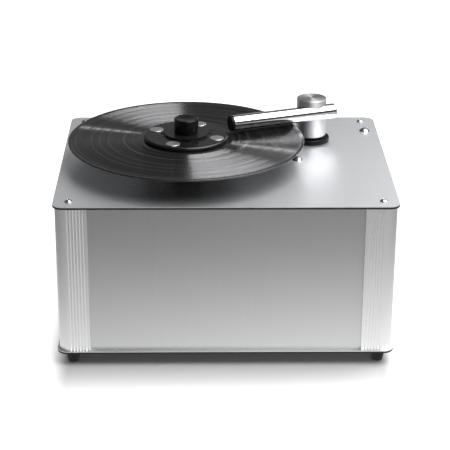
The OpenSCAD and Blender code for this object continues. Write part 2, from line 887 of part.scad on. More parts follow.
module foot(sx, sy) {
  color([0.06, 0.06, 0.06])
    translate([sx * screw_x, sy * screw_y, 0])
      rotate_extrude($fn = 96)
        difference() {
          union() {
            translate([0, foot_edge_r])
              square([foot_d / 2, foot_h - foot_edge_r]);
            square([foot_d / 2 - foot_edge_r, foot_h]);
            translate([foot_d / 2 - foot_edge_r, foot_edge_r])
              circle(r = foot_edge_r, $fn = 32);
          }
          translate([-over, -over]) {
            square([foot_bore_d / 2 + over, foot_h / 2 + over]);
            square([corner_screw_d / 2 + screw_slack + over, foot_h + 2 * over]);
          }
        }
}

module foot_front_left() {
  foot(-1, -1);
}

module foot_front_right() {
  foot(1, -1);
}

module foot_rear_left() {
  foot(-1, 1);
}

module foot_rear_right() {
  foot(1, 1);
}

module foot_screws() {
  color([0.75, 0.75, 0.76])
    for (x = [-screw_x, screw_x])
      for (y = [-screw_y, screw_y])
        translate([x, y, foot_h / 2])
          rotate([180, 0, 0])
            button_screw(corner_screw_d, foot_screw_len, corner_head_d, corner_head_h);
}

module platter_bearing() {
  color([0.7, 0.6, 0.35])
    difference() {
      union() {
        bar(bearing_flange_d, bearing_flange_t, [px, py, deck_z]);
        bar(bearing_d, deck_z - bearing_low + eps, [px, py, bearing_low]);
      }
      bar(shaft_d + 2 * run_clear, flange_top - bearing_low + 2 * over, [px, py, bearing_low - over]);
    }
}

module bearing_nut() {
  color([0.72, 0.72, 0.72])
    difference() {
      translate([px, py, bracket_z - nut_h])
        cylinder(d = bearing_d + 2 * nut_rim, h = nut_h, $fn = 6);
      bar(bearing_d, nut_h + 2 * over, [px, py, bracket_z - nut_h - over]);
    }
}

module leg_axes(z) {
  for (a = [30, 150, 270])
    translate([px + bracket_screw_r * cos(a), py + bracket_screw_r * sin(a), z])
      children();
}

module motor_bracket() {
  color([0.55, 0.56, 0.57])
    difference() {
      union() {
        bar(bracket_d, bracket_t, [px, py, bracket_z]);
        leg_axes(gear_top)
          cylinder(d = leg_d, h = bracket_leg + eps, $fn = 48);
      }
      bar(bearing_d, bracket_t + 2 * over, [px, py, bracket_z - over]);
      leg_axes(gear_top - over)
        cylinder(r = motor_screw_d / 2 + screw_slack, h = motor_screw_len, $fn = 32);
    }
}

module motor_screws() {
  color([0.75, 0.75, 0.76])
    leg_axes(gear_top - motor_web) {
      cylinder(d = motor_screw_d, h = motor_screw_len, $fn = 32);
      translate([0, 0, -motor_head_h])
        cylinder(d = motor_head_d, h = motor_head_h, $fn = 48);
    }
}

module gear_motor() {
  color([0.3, 0.31, 0.32])
    difference() {
      union() {
        bar(gear_case_d, gear_case_h, [px, py, gear_top - gear_case_h]);
        bar(motor_can_d, motor_can_h + eps, [px, py, gear_top - gear_case_h - motor_can_h]);
      }
      bar(gear_shaft_d + 2 * run_clear, gear_shaft_in + shaft_end_gap + over, [px, py, shaft_hole_z]);
      leg_axes(gear_top - gear_case_h - over) {
        cylinder(r = motor_screw_d / 2 + screw_slack, h = gear_case_h + 2 * over, $fn = 32);
        cylinder(r = motor_head_d / 2 + screw_slack, h = gear_case_h - motor_web + over, $fn = 48);
      }
    }
}

module drive_shaft() {
  color([0.75, 0.75, 0.76])
    bar(gear_shaft_d, coupling_mid - gear_top + gear_shaft_in, [px, py, gear_top - gear_shaft_in]);
}

module drive_coupling() {
  color([0.7, 0.71, 0.72])
    difference() {
      bar(shaft_d + 2 * coupling_wall, coupling_h, [px, py, shaft_low]);
      bar(gear_shaft_d, coupling_h / 2 + over, [px, py, shaft_low - over]);
      bar(shaft_d, coupling_h, [px, py, coupling_mid]);
    }
}

module spindle() {
  color([0.8, 0.8, 0.81])
    translate([px, py, 0]) {
      bar(shaft_d, hub_top - hub_seat - coupling_mid, [0, 0, coupling_mid]);
      bar(spindle_d, knob_z + pin_up - hub_top + hub_seat + eps, [0, 0, hub_top - hub_seat - eps]);
    }
}

module platter_hub() {
  color([0.09, 0.09, 0.09])
    difference() {
      union() {
        bar(hub_d, hub_t, [px, py, hub_top - hub_t]);
        bar(hub_column_d, hub_top - hub_low, [px, py, hub_low]);
      }
      bar(shaft_d, hub_top - hub_seat - hub_low + eps, [px, py, hub_low - eps]);
      bar(spindle_d, 2 * hub_t, [px, py, hub_top - hub_seat - over]);
    }
}

module platter_mat() {
  color([0.04, 0.04, 0.04])
    difference() {
      bar(hub_d, mat_t, [px, py, hub_top]);
      bar(spindle_d + 2 * pin_gap, mat_t + 2 * over, [px, py, hub_top - over]);
    }
}

module record() {
  r = record_d / 2;
  color([0.03, 0.03, 0.03])
    translate([px, py, mat_top])
      rotate_extrude($fn = 180)
        difference() {
          union() {
            translate([record_hole_d / 2, 0])
              square([r - record_t / 2 - record_hole_d / 2, record_t]);
            translate([r - record_t / 2, record_t / 2])
              circle(r = record_t / 2, $fn = 32);
          }
          translate([label_d / 2, record_t - groove_sink])
            square([r - record_rim - label_d / 2, record_t]);
          translate([label_d / 2 + under_rim, -record_t])
            square([r - record_rim - label_d / 2 - under_rim, record_t + groove_sink]);
        }
}

module clamp_seal() {
  d = clamp_d - 2 * seal_inset;
  color([0.03, 0.03, 0.03])
    difference() {
      bar(d, seal_h, [px, py, record_top + seat_gap]);
      bar(d - 2 * seal_w, seal_h + 2 * over, [px, py, record_top + seat_gap - over]);
    }
}

module clamp_disc() {
  r = clamp_d / 2;
  color([0.11, 0.11, 0.11])
    difference() {
      translate([px, py, disc_z])
        rotate_extrude($fn = 180)
          union() {
            square([r - clamp_edge_r, clamp_t]);
            square([r, clamp_t - clamp_edge_r]);
            intersection() {
              translate([r - clamp_edge_r, clamp_t - clamp_edge_r])
                circle(r = clamp_edge_r, $fn = 64);
              square([r, clamp_t]);
            }
            square([ring_d / 2, clamp_t + ring_h - ring_bevel]);
            square([ring_d / 2 - ring_bevel, clamp_t + ring_h]);
          }
      bar(record_hole_d + 2 * pin_gap, clamp_t + ring_h + 2 * over, [px, py, disc_z - over]);
      for (i = [0:3])
        translate([px, py, disc_z + weight_floor])
          rotate([0, 0, weight_turn + 90 * i])
            translate([weight_r, 0, 0])
              cylinder(d = weight_d, h = clamp_t, $fn = 64);
      for (i = [0:3])
        translate([px, py, ring_z - clamp_slot_depth])
          rotate([0, 0, weight_turn + 45 + 90 * i])
            translate([ring_d / 2 + clamp_slot_gap, -clamp_slot_w / 2, 0])
              cube([clamp_slot_len, clamp_slot_w, clamp_slot_depth + over]);
      for (i = [0:3])
        translate([px, py, ring_z - notch_depth])
          rotate([0, 0, 90 * i])
            translate([ring_d / 2 + notch_gap, -notch_w / 2, 0])
              cube([notch_len, notch_w, notch_depth + over]);
    }
}

module clamp_weights() {
  color([0.66, 0.64, 0.6])
    for (i = [0:3])
      translate([px, py, disc_z + weight_floor])
        rotate([0, 0, weight_turn + 90 * i])
          translate([weight_r, 0, 0])
            cylinder(d = weight_d, h = clamp_t - weight_floor + weight_up, $fn = 64);
}

module clamp_knob() {
  r = knob_d / 2;
  color([0.05, 0.05, 0.05])
    difference() {
      translate([px, py, knob_z])
        rotate_extrude($fn = 128)
          difference() {
            union() {
              square([r, knob_h - knob_edge_r]);
              square([r - knob_edge_r, knob_h]);
              translate([r - knob_edge_r, knob_h - knob_edge_r])
                circle(r = knob_edge_r, $fn = 32);
            }
            translate([0, knob_h + knob_dish_r - knob_dish])
              circle(r = knob_dish_r, $fn = 360);
          }
      bar(spindle_d + 2 * run_clear, knob_bore + over, [px, py, knob_z - over]);
    }
}

module arm_collar() {
  bore = riser_d / 2 + collar_gap;
  r = collar_d / 2;
  color([0.04, 0.04, 0.04])
    translate([arm_x, arm_y, deck_z])
      rotate_extrude($fn = 128)
        difference() {
          union() {
            translate([bore, 0])
              square([r - collar_edge_r - bore, collar_h]);
            translate([bore, 0])
              square([r - bore, collar_h - collar_edge_r]);
            translate([r - collar_edge_r, collar_h - collar_edge_r])
              circle(r = collar_edge_r, $fn = 64);
          }
          translate([0, collar_h - collar_sink])
            square([r - collar_edge_r - collar_rim, 2 * collar_sink]);
        }
}

module carrier_leg(len, w) {
  translate([0, -w / 2])
    square([len, w]);
  translate([len, 0])
    circle(d = w, $fn = 64);
}

module arm_carrier() {
  dx1 = dome1_x - arm_x;
  dy1 = dome1_y - arm_y;
  dx2 = dome2_x - arm_x;
  dy2 = dome2_y - arm_y;
  l1 = norm([dx1, dy1]);
  l2 = norm([dx2, dy2]);
  color([0.6, 0.61, 0.62])
    translate([arm_x, arm_y, ceil_z - carrier_t])
      linear_extrude(height = carrier_t)
        difference() {
          union() {
            circle(d = sleeve_d + 2 * carrier_rim, $fn = 96);
            rotate([0, 0, atan2(dy1, dx1)])
              carrier_leg(l1, carrier_arm_w);
            rotate([0, 0, atan2(dy2, dx2)])
              carrier_leg(l2, carrier_lug_w);
          }
          circle(d = sleeve_d, $fn = 96);
          translate([dx1, dy1])
            circle(r = dome_shank_d / 2 + screw_slack, $fn = 48);
          translate([dx2, dy2])
            circle(r = dome_shank_d / 2 + screw_slack, $fn = 48);
        }
}

module arm_sleeve() {
  low = riser_low + riser_flange_t + arm_lift + lift_gap;
  color([0.85, 0.85, 0.82])
    difference() {
      union() {
        bar(sleeve_d, deck_z - low, [arm_x, arm_y, low]);
        translate([arm_x, arm_y, ceil_z - carrier_t - sleeve_flange_t])
          bar(sleeve_d + 2 * sleeve_flange, sleeve_flange_t);
      }
      bar(riser_d + 2 * run_clear, deck_z - low + 2 * over, [arm_x, arm_y, low - over]);
    }
}

module riser_pipe() {
  color([0.78, 0.78, 0.79])
    difference() {
      union() {
        bar(riser_d, riser_top - riser_low, [arm_x, arm_y, riser_low]);
        bar(riser_d + 2 * riser_flange, riser_flange_t, [arm_x, arm_y, riser_flange_z - riser_flange_t]);
        bar(riser_d + 2 * riser_flange, riser_flange_t, [arm_x, arm_y, riser_low]);
      }
      bar(riser_d - 2 * riser_wall, riser_top - riser_low + 2 * over, [arm_x, arm_y, riser_low - over]);
    }
}

module riser_bellows() {
  p = (riser_low - bellows_z) / folds;
  r = bellows_d / 2;
  w = bellows_wall;
  inner = r - fold_depth;
  color([0.05, 0.05, 0.05])
    translate([arm_x, arm_y, bellows_z])
      rotate_extrude($fn = 96)
        for (i = [0:folds - 1])
          translate([0, i * p]) {
            polygon([[inner, 0], [inner + w, 0], [r, p / 2], [r - w, p / 2]]);
            polygon([[r - w, p / 2], [r, p / 2], [inner + w, p], [inner, p]]);
          }
}

module along_tube() {
  translate([arm_x, arm_y, tube_z])
    rotate([0, 0, arm_turn])
      translate([-tube_reach, -tube_offset, 0])
        children();
}

module post_channel() {
  translate([arm_x, arm_y, channel_z - over])
    rotate([0, 0, arm_turn])
      translate([0, channel_r + over - tube_offset, 0])
        cylinder(r = channel_r, h = tube_z - channel_z, $fn = 64);
}

module arm_post() {
  r = arm_post_d / 2;
  h = arm_post_up - arm_post_low;
  color([0.8, 0.8, 0.81])
    difference() {
      translate([arm_x, arm_y, deck_z + arm_post_low])
        rotate_extrude($fn = 180)
          difference() {
            union() {
              translate([0, post_edge_r])
                square([r, h - 2 * post_edge_r]);
              square([r - post_edge_r, h]);
              translate([r - post_edge_r, h - post_edge_r])
                circle(r = post_edge_r, $fn = 24);
            }
            translate([0, h + dimple_r - dimple_depth])
              circle(r = dimple_r, $fn = 48);
          }
      along_tube()
        rotate([0, 90, 0])
          translate([0, 0, -50])
            cylinder(r = tube_r, h = tube_len + 100, $fn = 128);
      bar(riser_d + 2 * run_clear, riser_socket + eps, [arm_x, arm_y, deck_z + arm_post_low - eps]);
      post_channel();
    }
}

module suction_tube() {
  color([0.86, 0.86, 0.87])
    difference() {
      along_tube()
        rotate([0, 90, 0])
          rotate_extrude($fn = 128)
            difference() {
              union() {
                square([tube_r, tube_len - tube_end_r]);
                square([tube_r - tube_end_r, tube_len]);
                translate([tube_r - tube_end_r, tube_len - tube_end_r])
                  circle(r = tube_end_r, $fn = 48);
              }
              translate([-over, -over])
                square([tube_r - tube_wall + over, tube_len - tube_end_r]);
            }
      along_tube()
        translate([slot_start, -slot_w / 2, -tube_r - over])
          cube([slot_len, slot_w, tube_wall + 2 * over]);
      post_channel();
    }
}

module tip_cap() {
  r = tube_r - 0.1;
  color([0.04, 0.04, 0.04])
    along_tube()
      rotate([0, -90, 0])
        rotate_extrude($fn = 96)
          union() {
            square([r, tip_cap_len - cap_edge_r]);
            square([r - cap_edge_r, tip_cap_len]);
            translate([r - cap_edge_r, tip_cap_len - cap_edge_r])
              circle(r = cap_edge_r, $fn = 32);
            translate([0, -cap_plug])
              square([tube_r - tube_wall, cap_plug + eps]);
          }
}

module velvet_strips() {
  color([0.08, 0.08, 0.09])
    along_tube()
      for (a = [velvet_start, -velvet_start - velvet_arc])
        rotate([0, 90, 0])
          rotate([0, 0, a])
            translate([0, 0, slot_start - over])
              rotate_extrude(angle = velvet_arc, $fn = 128)
                translate([tube_r, 0])
                  square([velvet_t, slot_len + 2 * over]);
}

module tank_plan(inset) {
  w = tank_w - 2 * inset;
  d = tank_d - 2 * inset;
  translate([tank_x0 + tank_w / 2, tank_y0 + tank_d / 2])
    rounded(w, d, tank_r - inset);
}

module tank() {
  color([0.82, 0.83, 0.82])
    difference() {
      translate([0, 0, floor_z])
        linear_extrude(height = tank_h + tank_wall)
          tank_plan(0);
      translate([0, 0, floor_z + tank_wall])
        linear_extrude(height = tank_h + over)
          tank_plan(tank_wall);
      translate([drain_x, tank_y0 + tank_d - tank_wall - over, floor_z + drain_z])
        rotate([-90, 0, 0])
          cylinder(d = drain_neck_d, h = tank_wall + 2 * over, $fn = 64);
    }
}

module tank_lid() {
  color([0.25, 0.26, 0.27])
    difference() {
      union() {
        translate([0, 0, lid_z])
          linear_extrude(height = lid_t)
            tank_plan(0);
        bar(spigot_d, lid_t + spigot_h, [outlet_x, outlet_y, lid_z]);
      }
      bar(spigot_bore, lid_t + spigot_h + 2 * over, [outlet_x, outlet_y, lid_z - over]);
      bar(bellows_d - 2 * fold_depth - 2 * lid_lip, lid_t + 2 * over, [arm_x, arm_y, lid_z - over]);
    }
}

module pipe_bend(r) {
  rotate_extrude(angle = 90, $fn = 96)
    translate([bend_r, 0])
      circle(r = r, $fn = 64);
}

module hose_solid(r, more) {
  run = norm([outlet_x + vac_x, outlet_y - vac_y]);
  translate([outlet_x, outlet_y, 0])
    rotate([0, 0, atan2(vac_y - outlet_y, -vac_x - outlet_x)]) {
      translate([0, 0, bellows_z + hose_gap - more])
        cylinder(r = r, h = hose_run_z - bend_r - bellows_z - hose_gap + more, $fn = 64);
      translate([bend_r, 0, hose_run_z - bend_r])
        rotate([90, 0, 180])
          pipe_bend(r);
      translate([bend_r, 0, hose_run_z])
        rotate([0, 90, 0])
          cylinder(r = r, h = run - 2 * bend_r, $fn = 64);
      translate([run - bend_r, 0, hose_run_z - bend_r])
        rotate([90, 0, 0])
          pipe_bend(r);
      translate([run, 0, chamber_top + hose_gap - more])
        cylinder(r = r, h = hose_run_z - bend_r - chamber_top - hose_gap + more, $fn = 64);
    }
}

module air_hose() {
  color([0.1, 0.1, 0.1])
    difference() {
      hose_solid(hose_r, 0);
      hose_solid(hose_r - hose_wall, 5);
    }
}

module vacuum_unit() {
  color([0.2, 0.21, 0.22])
    difference() {
      union() {
        bar(vac_can_d, vac_can_h + eps, [-vac_x, vac_y, vac_z]);
        bar(vac_d, vac_chamber_h, [-vac_x, vac_y, chamber_z]);
        bar(spigot_d, spigot_h, [-vac_x, vac_y, chamber_top - eps]);
      }
      bar(vac_d - 2 * duct_wall, vac_chamber_h - 2 * duct_wall, [-vac_x, vac_y, chamber_z + duct_wall]);
      bar(spigot_bore, spigot_h + duct_wall + 2 * over, [-vac_x, vac_y, chamber_top - duct_wall - over]);
      bar(fan_shaft_d + 2 * run_clear, fan_shaft_in + duct_wall + over, [-vac_x, vac_y, fan_hole_z]);
      translate([-vac_x, vac_y, duct_z])
        rotate([-90, 0, 0])
          cylinder(d = duct_d - 2 * duct_wall - 2 * over, h = vac_d, $fn = 64);
    }
}

module vacuum_cushion() {
  color([0.05, 0.05, 0.05])
    difference() {
      bar(vac_can_d, cushion_h, [-vac_x, vac_y, floor_z]);
      bar(vac_can_d - 2 * cushion_w, cushion_h + 2 * over, [-vac_x, vac_y, floor_z - over]);
    }
}

module vacuum_fan() {
  z0 = chamber_z + duct_wall + fan_gap;
  color([0.75, 0.76, 0.77])
    translate([-vac_x, vac_y, 0]) {
      bar(fan_shaft_d, z0 - fan_shaft_z + eps, [0, 0, fan_shaft_z]);
      bar(fan_hub_d, fan_hub_h, [0, 0, z0]);
      bar(fan_d, fan_t, [0, 0, z0]);
      for (i = [0:blades - 1])
        rotate([0, 0, 360 * i / blades])
          translate([fan_hub_d / 2 - over, -fan_t / 2, z0 + fan_t - eps])
            cube([(fan_d - fan_hub_d) / 2 - over, fan_t, blade_h]);
    }
}

module exhaust_duct() {
  color([0.1, 0.1, 0.1])
    difference() {
      translate([-vac_x, vac_y, duct_z])
        rotate([-90, 0, 0])
          cylinder(d = duct_d, h = wall_y - vac_y, $fn = 96);
      translate([-vac_x, vac_y, duct_z])
        rotate([-90, 0, 0])
          cylinder(d = duct_d - 2 * duct_wall, h = wall_y, $fn = 96);
      bar(vac_d, 2 * vac_chamber_h, [-vac_x, vac_y, chamber_z - vac_chamber_h / 2]);
    }
}

module power_inlet() {
  color([0.05, 0.05, 0.05])
    translate([inlet_x, panel_y, floor_z + inlet_z]) {
      difference() {
        union() {
          translate([-inlet_flange_w / 2, 0, -inlet_flange_h / 2])
            cube([inlet_flange_w, inlet_flange_t, inlet_flange_h]);
          translate([-inlet_w / 2, -inlet_depth, -inlet_h / 2])
            cube([inlet_w, inlet_depth + eps, inlet_h]);
        }
        translate([-cavity_w / 2, -cavity_depth, -cavity_h / 2])
          cube([cavity_w, 2 * cavity_depth, cavity_h]);
        inlet_axes(over)
          cylinder(r = inlet_screw_d / 2 + screw_slack, h = inlet_flange_t + 2 * over, $fn = 32);
      }
      for (p = socket_pins)
        translate([p[0] - socket_pin[0] / 2, -cavity_depth - eps, p[1] - socket_pin[2] / 2])
          cube(socket_pin);
    }
}

module inlet_screws() {
  color([0.75, 0.75, 0.76])
    translate([inlet_x, panel_y, floor_z + inlet_z])
      inlet_axes(inlet_screw_len - inlet_flange_t) {
        cylinder(d = inlet_screw_d, h = inlet_screw_len, $fn = 32);
        translate([0, 0, inlet_screw_len])
          cylinder(d1 = inlet_head_d, d2 = inlet_head_d - inlet_head_h, h = inlet_head_h, $fn = 48);
      }
}

module switch_body(y) {
  translate([-panel_x, y, floor_z + switch_z])
    difference() {
      union() {
        translate([-bezel_t, -switch_w / 2 - bezel_rim, -switch_h / 2 - bezel_rim])
          cube([bezel_t, switch_w + 2 * bezel_rim, switch_h + 2 * bezel_rim]);
        translate([-eps, -switch_w / 2, -switch_h / 2])
          cube([switch_depth, switch_w, switch_h]);
      }
      translate([-bezel_t - over, switch_wall - switch_w / 2, switch_wall - switch_h / 2])
        cube([
          bezel_t + over + switch_depth - switch_floor,
          switch_w - 2 * switch_wall,
          switch_h - 2 * switch_wall
        ]);
      translate([pin_in, -switch_w / 2 - over, 0])
        rotate([-90, 0, 0])
          cylinder(r = rocker_pin_d / 2 + run_clear, h = switch_w / 2 + over + pin_half + 0.1, $fn = 48);
    }
}

module rocker(y, tilt) {
  tip = pin_in + rocker_out;
  half = rocker_h / 2;
  translate([-panel_x + pin_in, y, floor_z + switch_z])
    rotate([90, 0, 0])
      rotate([0, 0, tilt]) {
        translate([0, 0, -rocker_w / 2])
          linear_extrude(height = rocker_w)
            polygon([
              [rocker_dip - tip, 0], [-tip, half], [0, half - 1], [rocker_back, half / 2],
              [rocker_back, -half / 2], [0, 1 - half], [-tip, -half]
            ]);
        translate([0, 0, -pin_half])
          cylinder(d = rocker_pin_d, h = 2 * pin_half, $fn = 48);
      }
}

module vacuum_switch() {
  color([0.05, 0.05, 0.05])
    switch_body(-switch1_y);
}

module turn_switch() {
  color([0.05, 0.05, 0.05])
    switch_body(-switch2_y);
}

module vacuum_rocker() {
  color([0.1, 0.1, 0.1])
    rocker(-switch1_y, rocker_tilt);
}

module turn_rocker() {
  color([0.1, 0.1, 0.1])
    rocker(-switch2_y, 0);
}

module drain_pipe() {
  y0 = tank_y0 + tank_d;
  len = panel_y + drain_out - y0;
  color([0.1, 0.1, 0.1])
    translate([drain_x, y0, floor_z + drain_z])
      rotate([-90, 0, 0])
        difference() {
          union() {
            translate([0, 0, -tank_wall])
              cylinder(d = drain_neck_d, h = tank_wall + over, $fn = 64);
            cylinder(d = drain_d, h = len, $fn = 96);
          }
          translate([0, 0, -tank_wall - over])
            cylinder(d = drain_bore, h = tank_wall + len + 2 * over, $fn = 64);
        }
}

module drain_plug() {
  head_r = drain_d / 2 + plug_rim;
  color([0.06, 0.06, 0.06])
    translate([drain_x, panel_y + drain_out + plug_gap, floor_z + drain_z])
      rotate([-90, 0, 0])
        difference() {
          union() {
            cylinder(r = head_r, h = plug_t, $fn = 96);
            translate([0, 0, -plug_len])
              cylinder(d = drain_bore - 2 * run_clear, h = plug_len + eps, $fn = 64);
          }
          for (i = [0:11])
            rotate([0, 0, 30 * i])
              translate([head_r + plug_flute_r - plug_flute_depth, 0, -over])
                cylinder(r = plug_flute_r, h = plug_t + 2 * over, $fn = 24);
          translate([-plug_slot_len / 2, -plug_slot_w / 2, plug_t - plug_slot_depth])
            cube([plug_slot_len, plug_slot_w, plug_slot_depth + over]);
        }
}

base_core();
base_skin();
top_core();
top_skin();
post_front_left();
post_front_right();
post_rear_left();
post_rear_right();
front_panel();
rear_panel();
left_panel();
right_panel();
level_window();
top_screws();
dome_bolts();
foot_front_left();
foot_front_right();
foot_rear_left();
foot_rear_right();
foot_screws();
platter_bearing();
bearing_nut();
motor_bracket();
motor_screws();
gear_motor();
drive_shaft();
drive_coupling();
spindle();
platter_hub();
platter_mat();
record();
clamp_seal();
clamp_disc();
clamp_weights();
clamp_knob();
arm_collar();
arm_carrier();
arm_sleeve();
riser_pipe();
riser_bellows();
arm_post();
suction_tube();
tip_cap();
velvet_strips();
tank();
tank_lid();
air_hose();
vacuum_unit();
vacuum_cushion();
vacuum_fan();
exhaust_duct();
power_inlet();
inlet_screws();
vacuum_switch();
vacuum_rocker();
turn_switch();
turn_rocker();
drain_pipe();
drain_plug();
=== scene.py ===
"""Looks of the record cleaning machine: satin case, grooved record, clamp and suction arm."""

import math

import bmesh
import bpy
import numpy as np
from bpy.props import FloatProperty, FloatVectorProperty, IntProperty, PointerProperty
from mathutils import Matrix, Quaternion, Vector


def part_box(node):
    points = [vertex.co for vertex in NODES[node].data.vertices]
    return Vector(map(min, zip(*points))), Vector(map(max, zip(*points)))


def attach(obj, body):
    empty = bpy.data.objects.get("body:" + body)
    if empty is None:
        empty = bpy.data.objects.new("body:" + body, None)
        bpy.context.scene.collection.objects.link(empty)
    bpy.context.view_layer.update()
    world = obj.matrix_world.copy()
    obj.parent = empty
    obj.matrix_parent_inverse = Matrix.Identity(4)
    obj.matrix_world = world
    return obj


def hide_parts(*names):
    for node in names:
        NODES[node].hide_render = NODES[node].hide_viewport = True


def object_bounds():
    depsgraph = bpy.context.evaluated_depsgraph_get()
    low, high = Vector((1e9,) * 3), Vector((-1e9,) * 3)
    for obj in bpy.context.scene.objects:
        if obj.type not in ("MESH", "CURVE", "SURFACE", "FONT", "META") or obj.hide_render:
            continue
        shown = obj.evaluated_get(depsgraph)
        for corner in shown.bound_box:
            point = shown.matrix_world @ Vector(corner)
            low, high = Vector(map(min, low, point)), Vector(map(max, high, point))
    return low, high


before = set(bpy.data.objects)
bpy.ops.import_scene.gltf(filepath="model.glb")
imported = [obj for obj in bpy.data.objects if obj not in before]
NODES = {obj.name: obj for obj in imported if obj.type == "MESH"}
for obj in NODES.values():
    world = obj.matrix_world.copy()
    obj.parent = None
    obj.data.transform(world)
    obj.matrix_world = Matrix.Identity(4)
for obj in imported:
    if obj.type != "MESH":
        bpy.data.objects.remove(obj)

CAD_LOW, CAD_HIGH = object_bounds()

bl_info = {
    "name": "Record cleaning machine",
    "version": (1, 0, 0),
    "blender": (4, 5, 0),
    "location": "View3D > Sidebar > Record cleaner",
    "description": "Dresses a packed record cleaning machine and sets up its studio",
    "category": "Object",
}

RECORD_LOW, RECORD_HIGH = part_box("record")
PLATTER = (RECORD_LOW + RECORD_HIGH) / 2
RECORD_RADIUS = RECORD_HIGH.x - PLATTER.x
POST_LOW, POST_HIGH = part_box("arm_post")
KNOB_LOW, KNOB_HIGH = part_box("clamp_knob")
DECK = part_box("top_skin")[1].z

# Smooth ring between the label and the grooves, in metres
RUN_OUT = 0.012

# Camera: its place in metres, its lens in millimetres, and its yaw, pitch down and roll in degrees
CAMERA_PLACE = (-0.03245, -1.87262, 0.90167)
CAMERA_LENS = 123.135
CAMERA_TURN = (1.029, 22.65, 0.279)


# Settings


class CaseSettings(bpy.types.PropertyGroup):
    """Colours and finish of the case."""

    plate_colour: FloatVectorProperty(
        name="Plate colour", description="Anodised skin of the top and base plates",
        default=(0.85, 0.865, 0.885), min=0, max=1, subtype="COLOR")
    plate_roughness: FloatProperty(
        name="Plate roughness", description="How far the plates scatter light",
        default=0.41, min=0, max=1, subtype="FACTOR")
    panel_colour: FloatVectorProperty(
        name="Panel colour", description="Anodised side panels",
        default=(0.62, 0.622, 0.625), min=0, max=1, subtype="COLOR")
    panel_roughness: FloatProperty(
        name="Panel roughness", description="How far the panels scatter light",
        default=0.29, min=0, max=1, subtype="FACTOR")
    post_colour: FloatVectorProperty(
        name="Corner post colour", description="Extruded corner posts",
        default=(0.88, 0.882, 0.885), min=0, max=1, subtype="COLOR")
    post_roughness: FloatProperty(
        name="Corner post roughness", description="How far the corner posts scatter light",
        default=0.36, min=0, max=1, subtype="FACTOR")
    grain_depth: FloatProperty(
        name="Grain depth", description="Depth of the brushed grain in the metal",
        default=0.00001, min=0, max=0.0001, precision=6, subtype="DISTANCE", unit="LENGTH")


class RecordSettings(bpy.types.PropertyGroup):
    """Sizes and finish of the record and its clamp."""

    vinyl_colour: FloatVectorProperty(
        name="Vinyl colour", description="Pressed record",
        default=(0.008, 0.008, 0.009), min=0, max=1, subtype="COLOR")
    vinyl_roughness: FloatProperty(
        name="Vinyl roughness", description="Roughness of the grooved band",
        default=0.27, min=0, max=1, subtype="FACTOR")
    groove_sheen: FloatProperty(
        name="Groove sheen", description="How far the grooves stretch a highlight outwards",
        default=1.0, min=0, max=1, subtype="FACTOR")
    groove_gloss: FloatVectorProperty(
        name="Groove gloss", description="Colour and strength of the groove walls' reflection",
        default=(0.10, 0.10, 0.102), min=0, max=1, subtype="COLOR")
    groove_slope: FloatProperty(
        name="Groove slope", description="How steeply the groove walls lean",
        default=0.6, min=0, max=2)
    bead_width: FloatProperty(
        name="Bead width", description="Raised edge outside the grooved band",
        default=0.0046, min=0.002, max=0.008, precision=4, subtype="DISTANCE", unit="LENGTH")
    label_radius: FloatProperty(
        name="Label radius", description="Flat middle of the record",
        default=0.05, min=0.04, max=0.052, precision=4, subtype="DISTANCE", unit="LENGTH")
    tracks: IntProperty(
        name="Tracks", description="Number of tracks between smooth gaps", default=6, min=1, max=12)


class ArmSettings(bpy.types.PropertyGroup):
    """Sizes and finish of the suction arm."""

    tube_diameter: FloatProperty(
        name="Tube diameter", description="Outside of the suction tube",
        default=0.0202, min=0.015, max=0.022, precision=4, subtype="DISTANCE", unit="LENGTH")
    tube_reach: FloatProperty(
        name="Tube reach", description="From the swing axis to the open end",
        default=0.1176, min=0.1, max=0.13, precision=4, subtype="DISTANCE", unit="LENGTH")
    tube_tail: FloatProperty(
        name="Tube tail", description="From the swing axis to the closed end",
        default=0.028, min=0.02, max=0.035, precision=4, subtype="DISTANCE", unit="LENGTH")
    tube_wall: FloatProperty(
        name="Tube wall", description="Thickness of the suction tube",
        default=0.0015, min=0.0008, max=0.002, precision=4, subtype="DISTANCE", unit="LENGTH")
    slot_start: FloatProperty(
        name="Slot start", description="From the open end to the suction slot",
        default=0.005, min=0.003, max=0.01, precision=4, subtype="DISTANCE", unit="LENGTH")
    slot_length: FloatProperty(
        name="Slot length", description="Length of the suction slot",
        default=0.076, min=0.05, max=0.08, precision=4, subtype="DISTANCE", unit="LENGTH")
    slot_width: FloatProperty(
        name="Slot width", description="Width of the suction slot",
        default=0.003, min=0.002, max=0.004, precision=4, subtype="DISTANCE", unit="LENGTH")
    tube_offset: FloatProperty(
        name="Tube offset", description="From the swing axis to the tube's axis",
        default=0.0125, min=0.005, max=0.015, precision=4, subtype="DISTANCE", unit="LENGTH")
    arm_turn: FloatProperty(
        name="Arm turn", description="Direction of the tube at rest, from the width",
        default=math.radians(20.5), min=0, max=math.pi / 2, subtype="ANGLE", unit="ROTATION")
    polish: FloatProperty(
        name="Tube roughness", description="Roughness of the polished tube",
        default=0.07, min=0, max=1, subtype="FACTOR")


